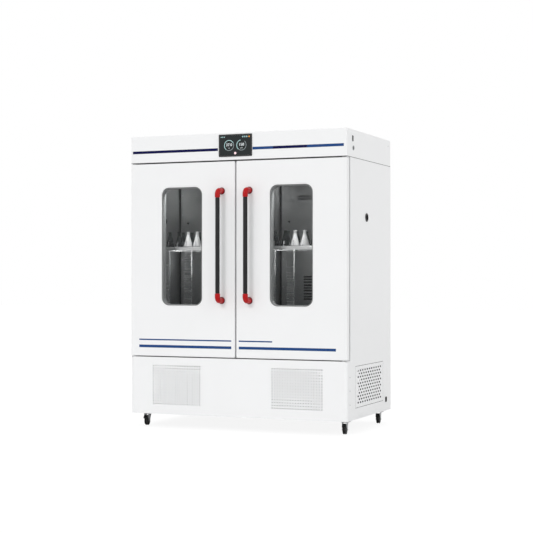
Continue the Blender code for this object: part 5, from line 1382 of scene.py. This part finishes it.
class INCUBATOR_OT_ducts(bpy.types.Operator):
    """Build the duct panels' louvre hoods, drawn near black as painted shade, the dark edge strips that paint
    the corners' shade, the screws and the sensors
    """

    bl_idname = "incubator.ducts"
    bl_label = "Duct louvres, seals and sensors"

    def execute(self, context):
        low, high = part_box("right_duct_panel")
        middle = (low[0] + high[0]) / 2
        face = low[1] - GAP
        head = [(0, -0.0022), (0.0024, -0.0020), (0.0040, -0.0010), (0.0044, 0), (0, 0)]
        probe = [
            (0, -0.016), (0.0032, -0.0155), (0.0040, -0.014), (0.0040, -0.003),
            (0.0065, -0.002), (0.0068, 0), (0, 0),
        ]
        hood = np.array([
            (0, 0.0062), (-0.0060, 0.0030), (-0.0060, -0.0050),
            (-0.0052, -0.0050), (-0.0052, 0.0024), (0, 0.0052),
        ])
        screws, shade_strips, hoods = [], [], []
        for block in range(3):
            for row in range(3):
                level = LOUVRE_Z + LOUVRE_BLOCK * block + LOUVRE_ROW * row
                outline = softened(hood + (face, level), 0.0006, 2)
                hoods.append(prism(outline, middle - LOUVRE_HALF, middle + LOUVRE_HALF, "X"))
        # Dark strips along the panel's edges: painted shade in the chamber's corners
        for x in (low[0] + SHADE_STRIP_HALF + GAP, high[0] - SHADE_STRIP_HALF - GAP):
            left, right, front = x - SHADE_STRIP_HALF, x + SHADE_STRIP_HALF, face - SHADE_STRIP_HEIGHT
            outline = softened([(left, face), (right, face), (right, front), (left, front)], 0.002)
            shade_strips.append(prism(outline, low[2] + GAP, high[2] - GAP, "Z"))
        for x in (low[0] + DUCT_SCREW_INSET, high[0] - DUCT_SCREW_INSET):
            for height in DUCT_SCREWS:
                screws.append(lathe(head, (x, face, BOTTOM + height), "Y", 16))
        zinc = zinc_plate()
        # Steel louvre hoods drawn near black: painted shade of the slots behind them
        shadow = finish_named("Louvre steel", brushed_steel, (0.07, 0.07, 0.07), (0.02, 1, 1), 0.55)
        for name, side in SIDES.items():
            strips = [mirrored(dark_rubber, side) for dark_rubber in shade_strips]
            piece(name + "_duct_shade_strips", strips, black_rubber(), "cabinet")
            piece(name + "_duct_screws", [mirrored(screw, side) for screw in screws], zinc, "cabinet")
            shapes = [mirrored(louvre, side) for louvre in hoods]
            piece(name + "_louvres", shapes, shadow, "cabinet", smooth=False)
            sensor = lathe(probe, (side * middle + SENSOR_X, face, SENSOR_Z), "Y", 20)
            piece(name + "_duct_sensor", [sensor], black_plastic(), "cabinet")
        return {"FINISHED"}


class INCUBATOR_OT_racks(bpy.types.Operator):
    """Build both double-deck racks"""

    bl_idname = "incubator.racks"
    bl_label = "Racks"

    def execute(self, context):
        settings = context.scene.incubator_chambers
        tray = finish_named("Deck steel", brushed_steel, settings.tray, (0.03, 1, 1), 0.26)
        # Pale strips round the lips: painted highlight
        edging = finish_named("Deck edging", moulded, settings.edging, 0.12, 0.000004)
        for name in SIDES:
            low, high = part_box(name + "_rack")
            centre = ((low[0] + high[0]) / 2, (low[1] + high[1]) / 2)
            upper = high[2]
            lower = upper - DECK_SPACING
            shapes = [deck_shape(centre, top, settings.lip) for top in (lower, upper)]
            for across in (-1, 1):
                for back in (-1, 1):
                    shapes.append(post_shape(centre, across, back, lower + GAP, upper - DECK_SHEET - GAP))
            tall = lower - 0.0025 - low[2]
            cup = [(0.0084, 0), (0.0184, 0), (0.0184, tall), (0.0084, tall)]
            for shift in (0, CRANK_SPACING):
                shapes.append(turned_ring(cup, (centre[0] + shift, centre[1], low[2]), "Z", 28))
            piece(name + "_decks", shapes, tray, name + "_rack", [name + "_rack"], even=True)
            strips = [highlight_strip_shape(centre, top, settings.lip) for top in (lower, upper)]
            piece(name + "_deck_edging", strips, edging, name + "_rack", smooth=False)
        return {"FINISHED"}


class INCUBATOR_OT_flasks(bpy.types.Operator):
    """Build the flasks in their spring clamps"""

    bl_idname = "incubator.flasks"
    bl_label = "Flasks and clamps"

    def execute(self, context):
        settings = context.scene.incubator_chambers
        glass = finish_named("Flask glass", thin_glass, settings.flask, settings.clarity, 0.05)
        highlit_glass = finish_named("Milky glass", moulded, settings.milky, 0.12, 0.000004)
        spring = finish_named("Spring steel", plated_steel, (0.62, 0.63, 0.64), 0.28)
        profile = flask_profile()
        for name in SIDES:
            low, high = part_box(name + "_clamped_flasks")
            middle = (low[0] + high[0]) / 2
            first = low[1] + FLASK_INSET
            floor = low[2]
            spots = []
            for row in range(2):
                for x in spaced(6 - row, middle, FLASK_PITCH):
                    spots.append((x, first + row * FLASK_ROW_PITCH))
            flasks = [lathe(profile, (x, y, floor + CLAMP_PLATE), "Z", 28) for x, y in spots]
            # Two flasks drawn opaque white as a painted highlight
            milky = [flasks.pop(index) for index in (3, 2)]
            node = name + "_clamped_flasks"
            piece(name + "_flasks", flasks, glass, name + "_rack", [node])
            piece(name + "_highlit_flasks", milky, highlit_glass, name + "_rack")
            arms = [clamp_arm(x, y, floor + 0.001, quarter) for x, y in spots for quarter in range(4)]
            plate = box(low, (high[0], high[1], floor + CLAMP_PLATE))
            piece(name + "_clamps", [plate, *arms], spring, name + "_rack", smooth=False)
        return {"FINISHED"}


# Casters

# Degrees that each caster is turned by, then the stems' places and the wheels' trail behind them
CASTERS = {"front_left": 96.0, "front_right": 99.0, "rear_left": 93.0, "rear_right": 98.0}
CASTER_INSET = 0.058
CASTER_DEPTHS = {"front": 0.132, "rear": 0.812}
CASTER_TRAIL = 0.016
PEDAL_HINGE_X = -0.029
PEDAL_HINGE_Z = BOTTOM - 0.0238


def swivelled(shapes, x, y, degrees):
    """Shapes turned about the upright line through a caster's stem."""
    return [turned(shape, (x, y, 0), degrees) for shape in shapes]


class INCUBATOR_OT_casters(bpy.types.Operator):
    """Build the four casters' wheels, forks and pedals"""

    bl_idname = "incubator.casters"
    bl_label = "Casters"

    def execute(self, context):
        settings = context.scene.incubator_casters
        rubber = finish_named("Tyre rubber", moulded, settings.tyre, 0.5, 0.00005)
        plastic = finish_named("Hub plastic", moulded, (0.09, 0.09, 0.095), 0.45)
        black = black_plastic()
        zinc = zinc_plate()
        head = [(0, 0), (0.0040, 0), (0.0040, -0.0026), (0, -0.0026)]
        for name, degrees in CASTERS.items():
            row, side = name.split("_")
            x = SIDES[side] * (SIDE - CASTER_INSET)
            y = FRONT + CASTER_DEPTHS[row]
            low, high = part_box(name + "_caster_wheel")
            centre = (x - CASTER_TRAIL, y, (low[2] + high[2]) / 2)
            wheel = name + "_wheel"
            shapes = swivelled([self.tyre(centre, settings.shoulder)], x, y, degrees)
            piece(name + "_tyre", shapes, rubber, wheel, [name + "_caster_wheel"])
            shapes = swivelled([self.hub(centre)], x, y, degrees)
            piece(name + "_hub", shapes, plastic, wheel)
            shapes = swivelled(self.fork(x, centre), x, y, degrees)
            piece(name + "_fork", shapes, zinc, name + "_caster", [name + "_caster_fork"])
            shapes = swivelled(self.pedal(x + PEDAL_HINGE_X, y), x, y, degrees)
            pedal = name + "_pedal"
            piece(pedal, shapes, black, pedal, [name + "_brake_pedal"])
            spots = [(x + u, y + v, BOTTOM - 0.0032) for u in (-0.026, 0.026) for v in (-0.021, 0.021)]
            bolts = [lathe(head, spot, "Z", 6) for spot in spots]
            piece(name + "_plate_bolts", bolts, zinc, "cabinet", smooth=False)
        return {"FINISHED"}

    def tyre(self, centre, shoulder):
        """Tyre turned about the axle: a tread with a groove and quarter-round shoulders."""
        radius = centre[2]
        tread = [(radius - inset, 0.012 - drop) for inset, drop in rounding(shoulder)]
        groove = [
            (radius - 0.0010, -0.0030), (radius - 0.0045, -0.0016),
            (radius - 0.0045, 0.0016), (radius - 0.0010, 0.0030),
        ]
        near = [(reach, -shift) for reach, shift in tread]
        profile = [(0.0185, -0.0105), *near, *groove, *tread[::-1], (0.0185, 0.0105)]
        return turned_ring(profile, centre, "Y", 48)

    def hub(self, centre):
        """Hub turned about the axle: a thin disc between its boss and its rim."""
        profile = [
            (0.0044, -0.012), (0.0080, -0.012), (0.0090, -0.0085), (0.0160, -0.0078), (0.0182, -0.0104),
            (0.0182, 0.0104), (0.0160, 0.0078), (0.0090, 0.0085), (0.0080, 0.012), (0.0044, 0.012),
        ]
        return turned_ring(profile, centre, "Y", 40)

    def fork(self, x, centre):
        """Fork: a two-step crown, two pressed legs and the axle with its nuts."""
        middle, y, axle = centre
        top = BOTTOM - 0.0033
        crown = [
            (0, top), (0.0322, top), (0.0330, top - 0.0008), (0.0330, top - 0.0072), (0.0318, top - 0.0084),
            (0.0290, top - 0.0088), (0.0275, top - 0.0120), (0, top - 0.0120),
        ]
        shapes = [lathe(crown, (x, y, 0), "Z", 36)]
        side_view = [
            (x + 0.0200, top - 0.006), (x - 0.0360, top - 0.006), (x - 0.0360, top - 0.0280),
            (middle - 0.0105, axle + 0.004), (middle - 0.0053, axle - 0.0074),
            (middle + 0.0053, axle - 0.0074), (middle + 0.0105, axle + 0.004),
        ]
        outline = softened(side_view, 0.004, 5)
        nut = np.array([(0, 0), (0.0052, 0), (0.0052, 0.0022), (0.0040, 0.0030), (0, 0.0030)])
        for sign in (-1, 1):
            near, far = sorted((sign * 0.0133, sign * 0.0158))
            shapes.append(prism(outline, y + near, y + far, "Y"))
            shapes.append(lathe(nut * (1, sign), (middle, y + sign * 0.0159, axle), "Y", 6))
        rod = [(0, -0.0135), (0.004, -0.0135), (0.004, 0.0135), (0, 0.0135)]
        shapes.append(lathe(rod, centre, "Y", 20))
        return shapes

    def pedal(self, x, y):
        """Pedal: a plate bent downward away from its hinge, with three grip ridges across it."""
        side_view = np.array([
            (0.002, 0.002), (-0.010, 0.003), (-0.026, -0.016),
            (-0.026, -0.020), (-0.010, -0.002), (0.002, -0.002),
        ])
        outline = softened(side_view + (x, PEDAL_HINGE_Z), 0.0022, 4)
        shapes = [prism(outline, y - 0.0130, y + 0.0130, "Y")]
        for step in (0.35, 0.6, 0.85):
            u = x - 0.010 - 0.016 * step
            v = PEDAL_HINGE_Z + 0.003 - 0.019 * step
            shapes.append(prism(circle(u, v, 0.0007, 10), y - 0.0110, y + 0.0110, "Y"))
        return shapes


# Stage

# Place and turn of the camera, and places of the two lamps inside each chamber
CAMERA_PLACE = (3.444, FRONT - 7.746, BOTTOM + 0.891)
CAMERA_TURN = (math.pi / 2 + 0.0078, 0, 0.3951)
TOP_LAMP_Y = -0.318
DECK_LAMP_Y = -0.255
DECK_LAMP_Z = BOTTOM + 1.02


class INCUBATOR_OT_stage(bpy.types.Operator):
    """Set up the camera, the lights and the floor"""

    bl_idname = "incubator.stage"
    bl_label = "Stage"

    def execute(self, context):
        settings = context.scene.incubator_stage
        scene = context.scene
        scene.view_settings.view_transform = "Standard"
        camera = bpy.data.cameras.new("camera")
        camera.lens = settings.lens
        camera.clip_end = 100
        viewer = bpy.data.objects.new("camera", camera)
        viewer.location = CAMERA_PLACE
        viewer.rotation_euler = CAMERA_TURN
        scene.collection.objects.link(viewer)
        scene.camera = viewer
        self.sky(scene, settings.sky)
        self.floor()
        self.lamp("key", "SUN", settings.key, (0, 0, 0), (-0.15, -0.83, 0.53), math.radians(16))
        self.lamp("fill", "SUN", settings.fill, (0, 0, 0), (0.85, -0.35, 0.40), math.radians(60))
        for name in SIDES:
            low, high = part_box(name + "_duct_panel")
            middle = (low[0] + high[0]) / 2
            spot = (middle, TOP_LAMP_Y, high[2] - 0.04)
            self.lamp(name + "_top", "AREA", settings.inside, spot, (0, -0.30, 0.95), 0.04)
            spot = (middle + 0.10, DECK_LAMP_Y, DECK_LAMP_Z)
            self.lamp(name + "_deck", "AREA", settings.inside * 0.34, spot, (0.35, -0.90, 0.25), 0.06)
        return {"FINISHED"}

    def sky(self, scene, strength):
        """Even light, seen as plain white behind the object and in reflections."""
        world = bpy.data.worlds.new("studio")
        world.use_nodes = True
        scene.world = world
        tree = world.node_tree
        tree.nodes.clear()
        path = tree.nodes.new("ShaderNodeLightPath")
        seen = tree.nodes.new("ShaderNodeMath")
        seen.operation = "MAXIMUM"
        tree.links.new(path.outputs["Is Camera Ray"], seen.inputs[0])
        tree.links.new(path.outputs["Is Glossy Ray"], seen.inputs[1])
        either = tree.nodes.new("ShaderNodeMath")
        either.operation = "MAXIMUM"
        tree.links.new(seen.outputs[0], either.inputs[0])
        tree.links.new(path.outputs["Is Transmission Ray"], either.inputs[1])
        level = tree.nodes.new("ShaderNodeMapRange")
        level.inputs["To Min"].default_value = strength
        level.inputs["To Max"].default_value = 1.0
        tree.links.new(either.outputs[0], level.inputs["Value"])
        light = tree.nodes.new("ShaderNodeBackground")
        light.inputs["Color"].default_value = (1, 1, 1, 1)
        tree.links.new(level.outputs["Result"], light.inputs["Strength"])
        output = tree.nodes.new("ShaderNodeOutputWorld")
        tree.links.new(light.outputs[0], output.inputs["Surface"])

    def floor(self):
        """Pale floor that shows white to the camera outside the object's shadow."""
        made = Finish("Floor")
        cloud = made.noise(1.5)
        tone = made.blend(cloud, (0.83, 0.83, 0.83, 1), (0.86, 0.86, 0.86, 1))
        paint = made.node("ShaderNodeBsdfDiffuse", {}, {"Color": tone})
        seen = made.node("ShaderNodeLightPath", output="Is Camera Ray")
        light = made.node("ShaderNodeEmission", {}, {"Color": (1, 1, 1, 1), "Strength": 1.12})
        both = made.node("ShaderNodeMixShader", {}, {0: seen * 0.80, 1: paint, 2: light})
        made.node("ShaderNodeOutputMaterial", {}, {"Surface": both})
        outline = rounded(-30, 30, -30, 30, 1.0)
        points, faces = slab([outline, outline], [-0.02, 0], "Z")
        mesh = bpy.data.meshes.new("floor")
        mesh.from_pydata(points.tolist(), [], faces)
        mesh.materials.append(made.material)
        ground = bpy.data.objects.new("floor", mesh)
        bpy.context.scene.collection.objects.link(ground)

    def lamp(self, name, kind, power, where, back, size):
        """Soft light that shines the opposite way to back: a sun's size is its angle."""
        light = bpy.data.lights.new(name, kind)
        light.energy = power
        if kind == "SUN":
            light.angle = size
        else:
            light.size = size
        lamp = bpy.data.objects.new(name, light)
        flat = math.hypot(back[0], back[1])
        lamp.location = where
        lamp.rotation_euler = (math.atan2(flat, back[2]), 0, math.atan2(back[0], -back[1]))
        bpy.context.scene.collection.objects.link(lamp)


# Panel and registration

OPERATORS = [
    INCUBATOR_OT_body,
    INCUBATOR_OT_header,
    INCUBATOR_OT_base,
    INCUBATOR_OT_screen,
    INCUBATOR_OT_fittings,
    INCUBATOR_OT_doors,
    INCUBATOR_OT_handles,
    INCUBATOR_OT_ducts,
    INCUBATOR_OT_racks,
    INCUBATOR_OT_flasks,
    INCUBATOR_OT_casters,
    INCUBATOR_OT_stage,
]

SETTINGS = {
    "incubator_cabinet": CabinetSettings,
    "incubator_fittings": FittingSettings,
    "incubator_doors": DoorSettings,
    "incubator_chambers": ChamberSettings,
    "incubator_casters": CasterSettings,
    "incubator_stage": StageSettings,
}


class INCUBATOR_PT_sidebar(bpy.types.Panel):
    """List the incubator's operators and settings"""

    bl_label = "Shaking Incubator"
    bl_idname = "INCUBATOR_PT_sidebar"
    bl_space_type = "VIEW_3D"
    bl_region_type = "UI"
    bl_category = "Incubator"

    def draw(self, context):
        """List a button per operator, then every setting of each group."""
        for operator in OPERATORS:
            self.layout.operator(operator.bl_idname)
        for name in SETTINGS:
            group = getattr(context.scene, name)
            section = self.layout.box()
            for key in group.bl_rna.properties.keys():
                if key not in {"rna_type", "name"}:
                    section.prop(group, key)


def register():
    """Register the classes, and hang each settings group on the scene."""
    for thing in [*SETTINGS.values(), *OPERATORS, INCUBATOR_PT_sidebar]:
        bpy.utils.register_class(thing)
    for name, group in SETTINGS.items():
        setattr(bpy.types.Scene, name, PointerProperty(type=group))


def unregister():
    """Take the settings groups off the scene, and unregister the classes."""
    for name in SETTINGS:
        delattr(bpy.types.Scene, name)
    for thing in [INCUBATOR_PT_sidebar, *reversed(OPERATORS), *reversed(SETTINGS.values())]:
        bpy.utils.unregister_class(thing)


def main():
    """Register the add-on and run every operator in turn."""
    register()
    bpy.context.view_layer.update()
    for operator in OPERATORS:
        group, name = operator.bl_idname.split(".")
        getattr(getattr(bpy.ops, group), name)()


if __name__ == "__main__":
    main()
